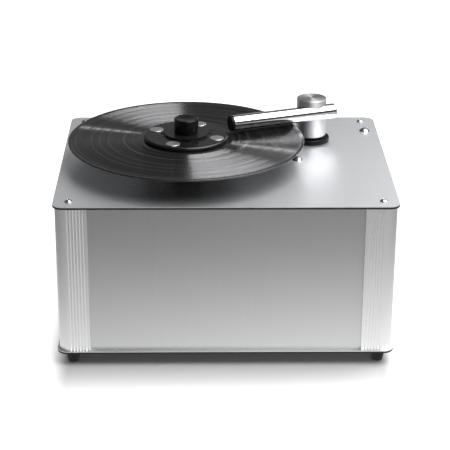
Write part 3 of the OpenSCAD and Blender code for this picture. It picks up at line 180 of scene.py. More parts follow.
class StudioSettings(bpy.types.PropertyGroup):
    """Lights and floor."""

    key_power: FloatProperty(
        name="Key light", description="Large soft light from overhead down to the right",
        default=138, min=0, max=500, unit="POWER")
    rim_power: FloatProperty(
        name="Rim light", description="Narrow light low on the right, behind the machine",
        default=2.6, min=0, max=500, unit="POWER")
    front_power: FloatProperty(
        name="Front light", description="Soft light by the camera", default=6, min=0,
        max=500, unit="POWER")
    world_strength: FloatProperty(
        name="Room light", description="Light from the white room", default=0.32, min=0, max=5)
    floor_colour: FloatVectorProperty(
        name="Floor colour", description="Plain floor", default=(0.4, 0.4, 0.4), min=0, max=1,
        subtype="COLOR")
    floor_lift: FloatProperty(
        name="Floor light", description="Light that the floor gives off away from the case",
        default=0.98, min=0, max=5)
    near_glow: FloatProperty(
        name="Near floor", description="Brightness of the floor by the case, as metal mirrors it",
        default=1.06, min=0, max=5)
    far_glow: FloatProperty(
        name="Middle floor", description="Brightness of the floor farther out, as metal mirrors it",
        default=0.12, min=0, max=5)


# Shader maths


class Wire:
    """One output of a shader node. Arithmetic on it adds Math nodes and gives a new Wire."""

    def __init__(self, tree, out):
        self.tree = tree
        self.out = out

    def maths(self, operation, *terms):
        node = self.tree.nodes.new("ShaderNodeMath")
        node.operation = operation
        for socket, term in zip(node.inputs, terms):
            if isinstance(term, Wire):
                self.tree.links.new(term.out, socket)
            else:
                socket.default_value = float(term)
        return Wire(self.tree, node.outputs[0])

    def __add__(self, other):
        return self.maths("ADD", self, other)

    def __radd__(self, other):
        return self.maths("ADD", other, self)

    def __sub__(self, other):
        return self.maths("SUBTRACT", self, other)

    def __rsub__(self, other):
        return self.maths("SUBTRACT", other, self)

    def __mul__(self, other):
        return self.maths("MULTIPLY", self, other)

    def __rmul__(self, other):
        return self.maths("MULTIPLY", other, self)

    def __truediv__(self, other):
        return self.maths("DIVIDE", self, other)

    def __rtruediv__(self, other):
        return self.maths("DIVIDE", other, self)

    def __pow__(self, other):
        return self.maths("POWER", self, other)

    def above(self, low):
        return self.maths("MAXIMUM", self, low)

    def between(self, low, high):
        return self.maths("MAXIMUM", self.maths("MINIMUM", self, high), low)

    def size(self):
        return self.maths("ABSOLUTE", self)

    def step(self, low, high):
        """0 below low, 1 above high and a smooth rise between them."""
        node = self.tree.nodes.new("ShaderNodeMapRange")
        node.interpolation_type = "SMOOTHSTEP"
        self.tree.links.new(self.out, node.inputs["Value"])
        node.inputs["From Min"].default_value = low
        node.inputs["From Max"].default_value = high
        return Wire(self.tree, node.outputs["Result"])


class Finish:
    """A material being mixed, or the world where it is the owner. node() adds any node, and
    surface() closes it with a shader."""

    def __init__(self, name, owner=None):
        self.material = owner or bpy.data.materials.new(name)
        self.material.use_nodes = True
        self.tree = self.material.node_tree
        self.tree.nodes.clear()

    def node(self, kind, out=0, settings=None, **sockets):
        """Adds a node: its settings first, then the values or links of its sockets by name."""
        made = self.tree.nodes.new(kind)
        for name, value in (settings or {}).items():
            if name == "stops":
                ramp = made.color_ramp
                while len(ramp.elements) < len(value):
                    ramp.elements.new(0.5)
                for element, (place, colour) in zip(ramp.elements, value):
                    element.position = place
                    element.color = (*colour, 1)
            else:
                setattr(made, name, value)
        for name, value in sockets.items():
            key = name.replace("_", " ")
            socket = made.inputs[key] if key in made.inputs else made.inputs[int(name[1:])]
            if isinstance(value, Wire):
                self.tree.links.new(value.out, socket)
            elif hasattr(socket.default_value, "__len__"):
                filled = tuple(value) + (1,) * (len(socket.default_value) - len(value))
                socket.default_value = filled
            else:
                socket.default_value = value
        return Wire(self.tree, made.outputs[out])

    def place(self, centre=(0, 0, 0), stretch=(1, 1, 1)):
        """Object coordinates about a centre, multiplied by stretch."""
        shown = self.node("ShaderNodeTexCoord", out="Object")
        moved = self.node("ShaderNodeMapping", settings={"vector_type": "TEXTURE"},
                          Vector=shown, Location=centre)
        return self.vectors("MULTIPLY", moved, stretch)

    def away(self, across=1.0, inset=0.0):
        """Distance from the outline of the case on the floor: the left and right edges move in by
        inset, and distances to the left and right count across times."""
        x, y, _ = self.parts(self.place())
        x = (x.size() - (CAD_HIGH.x - inset)).above(0) * across
        y = (y.size() - CAD_HIGH.y).above(0)
        return (x ** 2 + y ** 2) ** 0.5

    def noise(self, vector, scale, detail=2.0):
        return self.node("ShaderNodeTexNoise", out="Fac", Vector=vector, Scale=scale,
                         Detail=detail)

    def noise_along(self, value, scale, detail=2.0):
        """Noise that varies with one number only."""
        return self.node("ShaderNodeTexNoise", out="Fac", settings={"noise_dimensions": "1D"},
                         W=value, Scale=scale, Detail=detail)

    def parts(self, vector):
        """The three numbers of a vector."""
        split = self.tree.nodes.new("ShaderNodeSeparateXYZ")
        self.tree.links.new(vector.out, split.inputs[0])
        return [Wire(self.tree, out) for out in split.outputs]

    def radius(self, centre):
        """Distance from an upright axis."""
        x, y, _ = self.parts(self.place(centre))
        return (x * x + y * y) ** 0.5

    def blend(self, share, first, second):
        """Colour between two colours. They are sockets 6 and 7 and output 2 of a Mix node."""
        node = self.tree.nodes.new("ShaderNodeMix")
        node.data_type = "RGBA"
        for socket, value in ((node.inputs["Factor"], share), (node.inputs[6], first),
                              (node.inputs[7], second)):
            if isinstance(value, Wire):
                self.tree.links.new(value.out, socket)
            elif hasattr(value, "__len__"):
                socket.default_value = (*tuple(value)[:3], 1)
            else:
                socket.default_value = value
        return Wire(self.tree, node.outputs[2])

    def vectors(self, operation, *terms, **more):
        """Vector Math on its numbered sockets in turn, and on others by name."""
        numbered = {f"_{i}": term for i, term in enumerate(terms)}
        return self.node("ShaderNodeVectorMath", settings={"operation": operation},
                         **numbered, **more)

    def leant(self, centre, slope):
        """Surface normal that leans away from an upright axis by a slope."""
        out = self.vectors("NORMALIZE", self.vectors("MULTIPLY", self.place(centre), (1, 1, 0)))
        out = self.node("ShaderNodeVectorTransform", Vector=out, settings={
            "vector_type": "VECTOR", "convert_from": "OBJECT", "convert_to": "WORLD"})
        upright = self.node("ShaderNodeNewGeometry", out="Normal")
        out = self.vectors("SCALE", out, Scale=slope)
        return self.vectors("NORMALIZE", self.vectors("ADD", out, upright))

    def mix(self, share, first, second):
        """Shader between two shaders."""
        return self.node("ShaderNodeMixShader", _0=share, _1=first, _2=second)

    def bump(self, height, distance):
        """Normal of a surface that rises by height times distance in metres."""
        return self.node("ShaderNodeBump", Height=height, Distance=distance, Strength=1.0)

    def shader(self, **sockets):
        """Principled shader with the given sockets."""
        return self.node("ShaderNodeBsdfPrincipled", **sockets)

    def close(self, shader, kind="ShaderNodeOutputMaterial"):
        """Joins a shader to the output and gives the finished material."""
        end = self.tree.nodes.new(kind)
        self.tree.links.new(shader.out, end.inputs["Surface"])
        return self.material

    def surface(self, **sockets):
        """Material of one Principled shader with the given sockets."""
        return self.close(self.shader(**sockets))


def shade(colour, factor):
    """Colour times a factor, with no part of it above 1."""
    return tuple(min(1.0, c * factor) for c in tuple(colour)[:3])


# Finishes


def brushed(name, colour, roughness, along, depth):
    """Satin metal with a fine grain along one axis: noise drawn out along it, in colour,
    roughness and height, with faint clouding over the whole."""
    f = Finish(name)
    stretch = [2600.0, 2600.0, 2600.0]
    stretch["xyz".index(along)] = 9.0
    fine = f.noise(f.place(stretch=stretch), 1.0, detail=3.0)
    broad = f.noise(f.place(stretch=[s / 6 for s in stretch]), 1.0)
    cloud = f.noise(f.place(), 5.0, detail=1.0)
    tone = fine * 0.5 + broad * 0.3 + cloud * 0.2
    return f.surface(
        Base_Color=f.blend(tone, shade(colour, 0.93), shade(colour, 1.07)),
        Roughness=roughness - 0.04 + fine * 0.05 + cloud * 0.03,
        Metallic=1.0, Normal=f.bump(fine * 0.6 + broad * 0.4, depth))


def turned(name, colour, roughness, centre, anisotropy=0.6):
    """Metal turned on a lathe: rings about an upright axis in colour, roughness and height, which
    draw a highlight out along the radius."""
    f = Finish(name)
    rings = f.noise_along(f.radius(centre), 5200.0, detail=3.0)
    cloud = f.noise(f.place(), 60.0, detail=1.0)
    return f.surface(
        Base_Color=f.blend(rings, shade(colour, 0.94), shade(colour, 1.06)),
        Roughness=roughness - 0.04 + rings * 0.06 + cloud * 0.03,
        Metallic=1.0, Anisotropic=anisotropy, Anisotropic_Rotation=0.25,
        Normal=f.bump(rings, 0.000006))


def polished(name, colour, roughness):
    """Polished steel with faint wipe marks in its roughness."""
    f = Finish(name)
    marks = f.noise(f.place(stretch=(70, 70, 400)), 1.0, detail=3.0)
    return f.surface(
        Base_Color=f.blend(marks, shade(colour, 0.97), colour),
        Roughness=roughness + marks * 0.03, Metallic=1.0,
        Normal=f.bump(marks, 0.000002))


def moulded(name, colour, roughness, depth=0.00002, specular=0.5):
    """Moulded plastic with a fine spark-eroded texture and faint handling marks."""
    f = Finish(name)
    pits = f.noise(f.place(), 2200.0)
    marks = f.noise(f.place(), 45.0, detail=3.0)
    return f.surface(
        Base_Color=f.blend(marks, shade(colour, 0.85), shade(colour, 1.2)),
        Roughness=roughness - 0.05 + marks * 0.1, Specular_IOR_Level=specular,
        Normal=f.bump(pits, depth))


def rubber(name, colour, roughness=0.75):
    """Rubber: matt, with a fine bloom that lightens it in patches."""
    f = Finish(name)
    bloom = f.noise(f.place(), 90.0, detail=4.0)
    pits = f.noise(f.place(), 1800.0)
    return f.surface(
        Base_Color=f.blend(bloom.step(0.35, 0.75), colour, shade(colour, 2.2)),
        Roughness=roughness - 0.08 + bloom * 0.12, Specular_IOR_Level=0.35,
        Normal=f.bump(pits, 0.00003))


def velvet(name, colour):
    """Short pile: tiny bristles in height and colour, with sheen."""
    f = Finish(name)
    pile = f.noise(f.place(), 5200.0)
    nap = f.noise(f.place(), 260.0)
    return f.surface(
        Base_Color=f.blend(pile * 0.6 + nap * 0.4, shade(colour, 0.5), shade(colour, 1.9)),
        Roughness=0.95, Sheen_Weight=0.6, Sheen_Roughness=0.4, Specular_IOR_Level=0.1,
        Normal=f.bump(pile, 0.0002))


def composite_core(name, colour):
    """Sawn edge of the plate's dark core: fine saw marks and pale dust."""
    f = Finish(name)
    marks = f.noise(f.place(stretch=(900, 900, 60)), 1.0, detail=3.0)
    return f.surface(
        Base_Color=f.blend(marks.step(0.45, 0.8), colour, shade(colour, 1.8)),
        Roughness=0.5 + marks * 0.1, Normal=f.bump(marks, 0.00003))


def vinyl(settings):
    """Pressed record: smooth bead, run-out and label with specks of dust, and between them a
    grooved band. The band mixes two stretched highlights, one for each wall of a groove, in rings
    of varying share and gloss, and fine smooth gaps part the tracks, each with a painted highlight."""
    f = Finish("record_vinyl_grooved")
    r = f.radius(PLATTER)
    fine = f.noise_along(r, 1700.0)
    broad = f.noise_along(r, 110.0, detail=3.0)
    outer = RECORD_RADIUS - settings.bead_width
    inner = settings.label_radius + RUN_OUT
    grooved = r.step(inner - 0.0015, inner) * (1.0 - r.step(outer - 0.0012, outer - 0.0002))
    uneven = f.noise_along(r, 45.0, detail=0.0)
    track = (outer - r) / ((outer - inner) / settings.tracks) + uneven
    gap = (track.maths("FRACT", track + 0.5) - 0.5).size()
    gap_with_painted_highlight = 1.0 - gap.step(0.02, 0.045)
    dust = f.noise(f.place(), 1500.0).step(0.70, 0.80)
    # Painted highlight: the vinyl's colour is paler along the track gaps, standing in for the light
    # they catch.
    colour = f.blend(gap_with_painted_highlight, settings.vinyl_colour, (0.05, 0.05, 0.05))
    colour = f.blend(dust * 0.15, colour, (0.4, 0.4, 0.4))
    smooth = f.shader(Base_Color=colour, Roughness=0.13 + broad * 0.05, Specular_IOR_Level=0.5)
    gloss = f.blend(fine * 0.6 + broad * 0.4, shade(settings.groove_gloss, 0.75),
                    shade(settings.groove_gloss, 1.25))
    walls = [f.shader(
        Base_Color=gloss, Metallic=1.0, Roughness=settings.vinyl_roughness,
        Anisotropic=settings.groove_sheen, Anisotropic_Rotation=0.25,
        Normal=f.leant(PLATTER, lean * settings.groove_slope)) for lean in (-1, 1)]
    band = f.mix((fine * 0.7 + broad * 0.3 - 0.5) * 0.8 + 0.5, *walls)
    return f.close(f.mix(grooved * (1.0 - 0.5 * gap_with_painted_highlight), smooth, band))


def floor_with_painted_shadow(s):
    """Plain pale floor that gives off light away from the case. Its glow fades to nothing at the
    case, a painted shadow round it.
    """
    f = Finish("floor_white_painted_shadow")
    soft = f.noise(f.place(), 3.0, detail=1.0)
    return f.surface(
        # Painted shadow: the floor's glow is zero at the case and rises to full about 14 cm out.
        Base_Color=f.blend(soft, shade(s.floor_colour, 0.995), s.floor_colour),
        Roughness=0.8, Specular_IOR_Level=0.2, Emission_Strength=s.floor_lift,
        Emission_Color=f.blend(f.away(4.0, 0.016).step(0.0, 0.14), (0, 0, 0), (1, 1, 1)))


def floor_glow(s):
    """Floor as the metal mirrors it: light falls off from the case, is darkest half a metre to
    three quarters of a metre out, and is a little stronger to the right."""
    f = Finish("floor_glow")
    x = f.parts(f.place())[0]
    fall = f.node("ShaderNodeValToRGB", Fac=f.away(), settings={"stops": (
        (0.0, (s.near_glow,) * 3), (0.25, (0.56,) * 3), (0.5, (s.far_glow,) * 3),
        (0.75, (s.far_glow,) * 3), (1.0, (1.0,) * 3))})
    tilt = 1.0 + (x * 0.65).between(-0.25, 0.10)
    return f.surface(
        Base_Color=(0, 0, 0), Specular_IOR_Level=0, Emission_Strength=1.0,
        Emission_Color=f.vectors("SCALE", fall, Scale=tilt))


# Surfaces


def fillet(corners, steps=6):
    """Profile through corners given as (r, z, radius): each corner becomes an arc tangent to
    both of its sides, whose centre lies radius / sin(half angle) along the bisector."""
    path = []
    last = len(corners) - 1
    for i, (r, z, radius) in enumerate(corners):
        here = np.array((r, z))
        if radius == 0 or i in (0, last):
            path.append(here[None])
            continue
        back = np.array(corners[i - 1][:2]) - here
        ahead = np.array(corners[i + 1][:2]) - here
        back, ahead = back / np.linalg.norm(back), ahead / np.linalg.norm(ahead)
        half = math.acos(np.clip(back @ ahead, -1, 1)) / 2
        bisector = (back + ahead) / np.linalg.norm(back + ahead)
        centre = here + bisector * radius / math.sin(half)
        start = here + back * radius / math.tan(half) - centre
        end = here + ahead * radius / math.tan(half) - centre
        sweep = math.atan2(start[0] * end[1] - start[1] * end[0], start @ end)
        t = np.linspace(0, sweep, steps + 1)
        turn = np.stack([start[0] * np.cos(t) - start[1] * np.sin(t),
                         start[0] * np.sin(t) + start[1] * np.cos(t)], -1)
        path.append(centre + turn)
    return np.concatenate(path)


def lathe(profile, centre, turns, hexagon=None):
    """Surface of revolution: point(i, t) = centre + (r_i cos t, r_i sin t, z_i). A ring with
    a hexagon share k has its radius multiplied by 1 - k + k cos 30 / cos(t mod 60 - 30)."""
    r, z = profile[:, 0:1], profile[:, 1:2]
    t = np.linspace(0, 2 * math.pi, turns, endpoint=False)[None]
    if hexagon is not None:
        sixth = math.pi / 3
        flat = math.cos(sixth / 2) / np.cos(np.mod(t, sixth) - sixth / 2)
        r = r * (1 + np.asarray(hexagon, float)[:, None] * (flat - 1))
    points = np.stack([r * np.cos(t), r * np.sin(t), z + 0 * t], -1)
    return points + np.array(centre)


def slotted_tube(s):
    """Suction tube along z, open at 0 and closed at its far end: a surface of revolution, whose
    rows run down the bore, round the mouth and up the outside, with a slot about t = 0. Gives its
    grid, a second grid that joins the slot's edge outside to the same edge inside, and the test
    for the quads that the slot leaves out."""
    r, length, cap = s.tube_diameter / 2, s.tube_reach + s.tube_tail, 0.002
    bore, cols = r - s.tube_wall, 160
    slot = np.linspace(s.slot_start, s.slot_start + s.slot_length, 39)
    run = np.concatenate([slot, np.linspace(slot[-1], length - cap, 24)[1:-1]])
    inner = np.stack([np.full(run.shape, bore), run], -1)
    outer = inner + (r - bore, 0)
    mouth = fillet([(bore, 0, 0), (r, 0, 0.0002), (r, slot[0] / 2, 0)], 4)
    end = fillet([(r, length - cap * 1.5, 0), (r, length, cap), (0, length, 0)], 12)
    floor = [(0, length - cap), (bore, length - cap)]
    grid = lathe(np.concatenate([floor, inner[::-1], mouth, outer, end]), (0, 0, 0), cols)
    first = len(floor) + len(run) - len(slot)
    last = len(floor) + len(run) + len(mouth)
    half = round(s.slot_width / (2 * math.pi * r) * cols / 2)
    turn = np.arange(-half, half) % cols
    rows = np.concatenate([start + np.arange(len(slot) - 1) for start in (first, last)])
    across, along = np.arange(-half, half + 1) % cols, last + np.arange(len(slot))
    broad, long = len(across), len(along)
    i = np.concatenate([np.full(broad, along[0]), along[1:], np.full(broad - 1, along[-1]),
                        along[-2:0:-1]])
    j = np.concatenate([across, np.full(long - 1, across[-1]), across[-2::-1],
                        np.full(long - 2, across[0])])
    wall = np.stack([grid[i, j], grid[first + (along[-1] - i), j]])
    return grid, wall, lambda i, j: np.isin(i, rows) & np.isin(j, turn)


def turned_to(points, matrix):
    """The same points carried by a 4 x 4 matrix."""
    m = np.array(matrix)
    return points @ m[:3, :3].T + m[:3, 3]


def skin(name, grids, sharp=35.0, drop=None):
    """Mesh over grids of points: neighbours in rows and columns make quads, columns close on
    themselves, equal points are merged, so seams and poles close, and faces point outwards.
    drop names the quads of the first grid that are left out."""
    points, quads, base = [], [], 0
    for grid in grids:
        rows, cols = grid.shape[:2]
        i, j = np.meshgrid(np.arange(rows - 1), np.arange(cols), indexing="ij")
        keep = np.ones(i.shape, bool) if drop is None or base else ~drop(i, j)
        i, j = i[keep], j[keep]
        i1, j1 = (i + 1) % rows, (j + 1) % cols
        corners = [i * cols + j, i1 * cols + j, i1 * cols + j1, i * cols + j1]
        quads.append(np.stack(corners, -1) + base)
        points.append(grid.reshape(-1, 3))
        base += rows * cols
    mesh = bpy.data.meshes.new(name)
    mesh.from_pydata(np.concatenate(points).tolist(), [], np.concatenate(quads).tolist())
    bm = bmesh.new()
    bm.from_mesh(mesh)
    bmesh.ops.remove_doubles(bm, verts=bm.verts, dist=1e-7)
    bmesh.ops.delete(bm, geom=[v for v in bm.verts if not v.link_faces], context="VERTS")
    bmesh.ops.recalc_face_normals(bm, faces=bm.faces)
    bm.to_mesh(mesh)
    bm.free()
    mesh.shade_smooth()
    mesh.set_sharp_from_angle(angle=math.radians(sharp))
    return mesh


def piece(name, mesh, material, body, slot, *replaced):
    """Links a finished mesh as a piece that rides on a body and stands for CAD nodes."""
    made = bpy.data.objects.new(name, mesh)
    bpy.context.scene.collection.objects.link(made)
    mesh.materials.append(material)
    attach(made, body)
    if replaced:
        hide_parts(*replaced)


def dress(material, *names):
    """Gives carried-over CAD nodes a material."""
    for name in names:
        slots = NODES[name].data.materials
        for i in range(len(slots)):
            slots[i] = material


def flat(name, half, height, material):
    """Square stage plane, half a side either way, at a height."""
    corners = [(x * half, y * half, height) for x, y in ((-1, -1), (1, -1), (1, 1), (-1, 1))]
    mesh = bpy.data.meshes.new(name)
    mesh.from_pydata(corners, [], [(0, 1, 2, 3)])
    mesh.materials.append(material)
    made = bpy.data.objects.new(name, mesh)
    bpy.context.scene.collection.objects.link(made)
    return made


def lamp(name, place, target, size, power, roll=0.0):
    """Rectangular soft light aimed at a target, its second side upright before the roll."""
    data = bpy.data.lights.new(name, "AREA")
    data.shape, data.size, data.size_y, data.energy = "RECTANGLE", *size, power
    made = bpy.data.objects.new(name, data)
    made.location = place
    made.rotation_mode = "QUATERNION"
    aim = (Vector(target) - Vector(place)).to_track_quat("-Z", "Y")
    made.rotation_quaternion = aim @ Quaternion((0, 0, 1), roll)
    bpy.context.scene.collection.objects.link(made)


# Operators


class BuildCase(bpy.types.Operator):
    """Finishes the plates, panels and corner posts"""

    bl_idname = "cleaner.build_case"
    bl_label = "Case"

    def execute(self, context):
        s = context.scene.cleaner_case
        plate = brushed("plate_anodised", s.plate_colour, s.plate_roughness, "x", s.grain_depth)
        dress(plate, "top_skin", "base_skin")
        dress(composite_core("plate_core", (0.006, 0.006, 0.0065)), "top_core", "base_core")
        panel = brushed("panel_anodised", s.panel_colour, s.panel_roughness, "z", s.grain_depth)
        dress(panel, "front_panel", "rear_panel", "left_panel", "right_panel")
        post = brushed("post_extruded", s.post_colour, s.post_roughness, "z", s.grain_depth / 4)
        dress(post, "post_front_left", "post_front_right", "post_rear_left", "post_rear_right")
        return {"FINISHED"}


class BuildFasteners(bpy.types.Operator):
    """Makes the corner screws and finishes the domed bolts"""

    bl_idname = "cleaner.build_fasteners"
    bl_label = "Fasteners"

    def execute(self, context):
        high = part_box("top_screws")[1]
        rise, radius, shank, depth = high.z - DECK, 0.0047, 0.0028, 0.012
        socket, socket_floor = 0.00175, rise - 0.0019
        head = fillet([(0, socket_floor, 0), (socket - 0.0001, socket_floor, 0),
                       (socket, rise - 0.0003, 0), (0.0021, rise, 0.0002),
                       (radius - 0.0012, rise - 0.0009, 0.003), (radius, 0.0009, 0.0005),
                       (radius, 0, 0)])
        outline = np.concatenate([head, [(shank, 0), (shank, -depth), (0, -depth)]])
        hexagonal = np.where(np.arange(len(outline)) < 3, 1.0, 0.0)
        right, back = high.x - radius, high.y - radius
        grids = [lathe(outline, (x, y, DECK), 72, hexagonal)
                 for x in (-right, right) for y in (-back, back)]
        bright = polished("screw_bright", (0.42, 0.43, 0.45), 0.2)
        piece("top_screw_heads", skin("top_screw_heads", grids), bright, "chassis",
              "bright_fastener", "top_screws")
        dress(bright, "dome_bolts", "foot_screws", "inlet_screws")
        return {"FINISHED"}


class BuildFeet(bpy.types.Operator):
    """Makes the rubber feet"""

    bl_idname = "cleaner.build_feet"
    bl_label = "Feet"

    def execute(self, context):
        material = rubber("foot_rubber_black", (0.005, 0.005, 0.0055))
        for name in ("foot_front_left", "foot_front_right", "foot_rear_left", "foot_rear_right"):
            low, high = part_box(name)
            r, h, bore, hole = (high.x - low.x) / 2, high.z, 0.0052, 0.003
            outline = fillet([(hole, h, 0), (r - 0.0004, h, 0.0006), (r, 0.0105, 0.004),
                              (r - 0.0014, 0, 0.0016), (bore + 0.0002, 0, 0.0003),
                              (bore, 0.0004, 0.0002), (bore, h / 2, 0.0002), (hole, h / 2, 0),
                              (hole, h, 0)], 5)
            centre = ((low.x + high.x) / 2, (low.y + high.y) / 2, 0)
            mesh = skin(name + "_moulded", [lathe(outline, centre, 96)])
            piece(name + "_moulded", mesh, material, "chassis", "foot_rubber", name)
        return {"FINISHED"}


class BuildRecord(bpy.types.Operator):
    """Makes the record with its bead, track gaps, run-out and label"""

    bl_idname = "cleaner.build_record"
    bl_label = "Record"

    def execute(self, context):
        s = context.scene.cleaner_record
        t = RECORD_HIGH.z - RECORD_LOW.z
        sunk, hole, edge, under = 0.0003, 0.0036, t * 0.48, s.label_radius + 0.004
        outer, inner = RECORD_RADIUS - s.bead_width, s.label_radius + RUN_OUT
        gap, dip = 0.00045, 0.00012
        middles = np.linspace(outer, inner, s.tracks + 1)[1:-1]
        gaps = [(middle + k * gap, t - sunk - d) for middle in middles
                for k, d in ((1.6, 0), (0.8, dip), (-0.8, dip), (-1.6, 0))]
        top = fillet([(hole, t, 0), (s.label_radius, t, 0.0004),
                      (s.label_radius + 0.0012, t - sunk, 0.0006)])
        rim = fillet([(outer - 0.0005, t - sunk, 0), (outer, t - sunk, 0.001),
                      (outer + 0.0012, t, 0.001), (RECORD_RADIUS, t, edge),
                      (RECORD_RADIUS, 0, edge), (outer + 0.001, 0, 0.001), (outer, sunk, 0.001),
                      (under + 0.0004, sunk, 0.0006), (under, 0, 0.0004), (hole, 0, 0)], 8)
        outline = np.concatenate([top, gaps[::-1], rim, [(hole, t)]])
        centre = (PLATTER.x, PLATTER.y, RECORD_LOW.z)
        mesh = skin("record_disc", [lathe(outline, centre, 384)], sharp=50)
        piece("record_disc", mesh, vinyl(s), "platter", "record_vinyl", "record")
        dress(rubber("mat_rubber", (0.012, 0.012, 0.012)), "platter_mat")
        dress(moulded("hub_black", (0.02, 0.02, 0.021), 0.45), "platter_hub")
        return {"FINISHED"}


class BuildClamp(bpy.types.Operator):
    """Finishes the clamp disc and makes its weights and knob"""

    bl_idname = "cleaner.build_clamp"
    bl_label = "Clamp"

    def execute(self, context):
        black = moulded("clamp_black", (0.005, 0.005, 0.0055), 0.27, 0.000004, specular=0.35)
        dress(black, "clamp_disc")
        dress(rubber("seal_black", (0.01, 0.01, 0.01)), "clamp_seal", "vacuum_cushion",
              "riser_bellows")
        bottom, top = (corner.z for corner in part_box("clamp_weights"))
        r, ring, first = 0.009, 0.042, math.radians(156.7)
        outline = fillet([(0, bottom, 0), (r, bottom, 0), (r, top, 0.0006), (0, top, 0)])
        grids = [lathe(outline, (PLATTER.x + ring * math.cos(turn),
                                 PLATTER.y + ring * math.sin(turn), 0), 72)
                 for turn in first + np.arange(4) * math.pi / 2]
        steel = brushed("weight_satin", (0.50, 0.485, 0.455), 0.38, "x", 0.000004)
        piece("clamp_weight_caps", skin("clamp_weight_caps", grids), steel, "clamp",
              "weight_steel", "clamp_weights")
        r, h = (KNOB_HIGH.x - KNOB_LOW.x) / 2, KNOB_HIGH.z - KNOB_LOW.z
        bore, bore_depth, dish = 0.00375, 0.010, 0.0017
        outline = fillet([(bore, 0, 0), (r - 0.0006, 0, 0.0008), (r, 0.003, 0.002),
                          (r, h, 0.0014), (r - 0.0026, h - 0.0002, 0.0012),
                          (0.004, h - dish + 0.0001, 0.02), (0, h - dish, 0)], 10)
        outline = np.concatenate([[(0, bore_depth), (bore, bore_depth)], outline])
        mesh = skin("knob_turned", [lathe(outline, (PLATTER.x, PLATTER.y, KNOB_LOW.z), 160)])
        black = moulded("knob_black", (0.002, 0.002, 0.0022), 0.2, 0.000003, specular=0.2)
        piece("knob_turned", mesh, black, "knob", "knob_plastic", "clamp_knob")
        return {"FINISHED"}


class BuildArm(bpy.types.Operator):
    """Makes the arm's post and suction tube, and finishes the parts round them"""

    bl_idname = "cleaner.build_arm"
    bl_label = "Suction arm"

    def execute(self, context):
        s = context.scene.cleaner_arm
        axis = (POST_LOW + POST_HIGH) / 2
        r, low, high = (POST_HIGH.x - POST_LOW.x) / 2, POST_LOW.z, POST_HIGH.z
        outline = fillet([(0, low, 0), (r - 0.0004, low, 0.0003), (r, low + 0.0005, 0.0004),
                          (r, high, 0.0006), (0, high, 0)])
        mesh = skin("arm_post_turned", [lathe(outline, (axis.x, axis.y, 0), 256)])
        metal = turned("post_turned_metal", (0.57, 0.57, 0.58), 0.36, (axis.x, axis.y, 0), 0.7)
        piece("arm_post_turned", mesh, metal, "arm", "machined", "arm_post")
        grid, wall, dropped = slotted_tube(s)
        low, high = (corner.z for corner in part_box("suction_tube"))
        carry = (Matrix.Translation((axis.x, axis.y, (low + high) / 2))
                 @ Matrix.Rotation(s.arm_turn, 4, "Z")
                 @ Matrix.Translation((-s.tube_reach, -s.tube_offset, 0))
                 @ Matrix.Rotation(math.pi / 2, 4, "Y"))
        grids = [turned_to(grid, carry), turned_to(wall, carry)]
        mesh = skin("suction_tube_polished", grids, drop=dropped)
        metal = polished("tube_polished", (0.58, 0.58, 0.585), s.polish)
        piece("suction_tube_polished", mesh, metal, "arm", "polished_tube", "suction_tube")
        dress(moulded("cap_black", (0.003, 0.003, 0.003), 0.4, 0.000005, specular=0.12),
              "tip_cap", "arm_collar")
        dress(velvet("velvet_black", (0.02, 0.02, 0.022)), "velvet_strips")
        dress(polished("riser_steel", (0.62, 0.62, 0.63), 0.2), "riser_pipe")
        return {"FINISHED"}


class BuildWorks(bpy.types.Operator):
    """Finishes the parts inside the case and on its back and sides"""

    bl_idname = "cleaner.build_works"
    bl_label = "Works"

    def execute(self, context):
        dress(turned("bearing_bronze", (0.45, 0.36, 0.2), 0.3, PLATTER), "platter_bearing")
        steel = brushed("works_steel", (0.5, 0.5, 0.5), 0.35, "x", 0.000004)
        dress(steel, "spindle", "bearing_nut", "drive_shaft", "drive_coupling", "motor_screws",
              "vacuum_fan", "motor_bracket", "arm_carrier")
        dress(moulded("motor_black", (0.03, 0.03, 0.032), 0.45), "gear_motor", "vacuum_unit")
        dress(moulded("tank_white", (0.62, 0.63, 0.62), 0.35), "tank", "arm_sleeve")
        dress(moulded("lid_grey", (0.06, 0.062, 0.065), 0.4), "tank_lid")
        dress(rubber("hose_black", (0.014, 0.014, 0.014), 0.6), "air_hose", "exhaust_duct")
        dress(moulded("fitting_black", (0.014, 0.014, 0.015), 0.4), "power_inlet", "vacuum_switch",
              "turn_switch", "vacuum_rocker", "turn_rocker", "drain_pipe", "drain_plug")
        f = Finish("window_clear")
        haze = f.noise(f.place(), 30.0)
        clear = f.surface(Base_Color=f.blend(haze, (0.55, 0.65, 0.68), (0.7, 0.78, 0.8)),
                          Roughness=0.12 + haze * 0.06, Alpha=0.55 + haze * 0.1, IOR=1.49)
        dress(clear, "level_window")
        return {"FINISHED"}


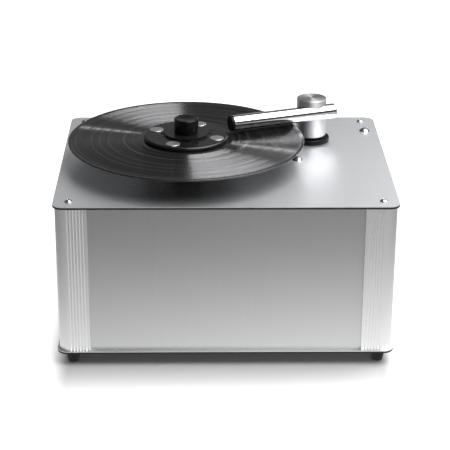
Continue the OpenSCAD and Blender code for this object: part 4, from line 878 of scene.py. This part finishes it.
class BuildStudio(bpy.types.Operator):
    """Sets up the floor, the lights and the camera"""

    bl_idname = "cleaner.build_studio"
    bl_label = "Studio"

    def execute(self, context):
        s = context.scene.cleaner_studio
        scene = context.scene
        scene.view_settings.view_transform = "Standard"
        scene.view_settings.look = "None"
        flat("floor", 14.0, 0.0, floor_with_painted_shadow(s))
        glow = flat("floor_glow", 4.0, 0.0004, floor_glow(s))
        glow.visible_camera = glow.visible_diffuse = False
        glow.visible_shadow = glow.visible_transmission = False
        scene.world = bpy.data.worlds.new("room")
        f = Finish("room", scene.world)
        x, y, _ = f.parts(f.node("ShaderNodeTexCoord", out="Generated"))
        bright = f.vectors("SCALE", (1, 1, 1), Scale=(0.62 + y * 0.38) * (0.8 + x * 0.3))
        f.close(f.node("ShaderNodeBackground", Strength=s.world_strength, Color=bright),
                "ShaderNodeOutputWorld")
        lamp("key_light", (0.93, -0.3, 2.14), (-0.32, -0.3, 0.27), (2.6, 2.05), s.key_power)
        lamp("rim_light", (0.95, 1.72, 1.17), (-0.05, 0, 0.24), (0.02, 0.5), s.rim_power,
             math.radians(-56))
        lamp("front_light", (0.8, -2.3, 1.3), (0, 0, 0.3), (1.8, 1.6), s.front_power)
        data = bpy.data.cameras.new("camera")
        data.sensor_width, data.lens = 36.0, CAMERA_LENS
        camera = bpy.data.objects.new("camera", data)
        scene.collection.objects.link(camera)
        yaw, down, roll = (math.radians(angle) for angle in CAMERA_TURN)
        right = Vector((math.cos(yaw), -math.sin(yaw), 0))
        level = Vector((math.sin(yaw), math.cos(yaw), 0))
        ahead = math.cos(down) * level - math.sin(down) * Vector((0, 0, 1))
        up = right.cross(ahead)
        side = math.cos(roll) * right + math.sin(roll) * up
        rise = math.cos(roll) * up - math.sin(roll) * right
        turn = Matrix((side, rise, -ahead)).transposed().to_4x4()
        camera.matrix_world = Matrix.Translation(CAMERA_PLACE) @ turn
        scene.camera = camera
        return {"FINISHED"}


class CleanerPanel(bpy.types.Panel):
    """Lists the steps that dress the machine"""

    bl_idname = "VIEW3D_PT_cleaner"
    bl_label = "Record cleaner"
    bl_space_type = "VIEW_3D"
    bl_region_type = "UI"
    bl_category = "Record cleaner"

    def draw(self, context):
        scene = context.scene
        for group in SETTINGS:
            settings = getattr(scene, group)
            for name in settings.__annotations__:
                self.layout.prop(settings, name)
        for step in STEPS:
            self.layout.operator(step.bl_idname)


STEPS = (BuildCase, BuildFasteners, BuildFeet, BuildRecord, BuildClamp, BuildArm, BuildWorks,
         BuildStudio)
SETTINGS = {"cleaner_case": CaseSettings, "cleaner_record": RecordSettings,
            "cleaner_arm": ArmSettings, "cleaner_studio": StudioSettings}


def register():
    for group in (*SETTINGS.values(), *STEPS, CleanerPanel):
        bpy.utils.register_class(group)
    for name, group in SETTINGS.items():
        setattr(bpy.types.Scene, name, PointerProperty(type=group))


def unregister():
    for name in SETTINGS:
        delattr(bpy.types.Scene, name)
    for group in (CleanerPanel, *reversed(STEPS), *reversed(SETTINGS.values())):
        bpy.utils.unregister_class(group)


def main():
    register()
    for step in STEPS:
        family, name = step.bl_idname.split(".")
        getattr(getattr(bpy.ops, family), name)()


if __name__ == "__main__":
    main()
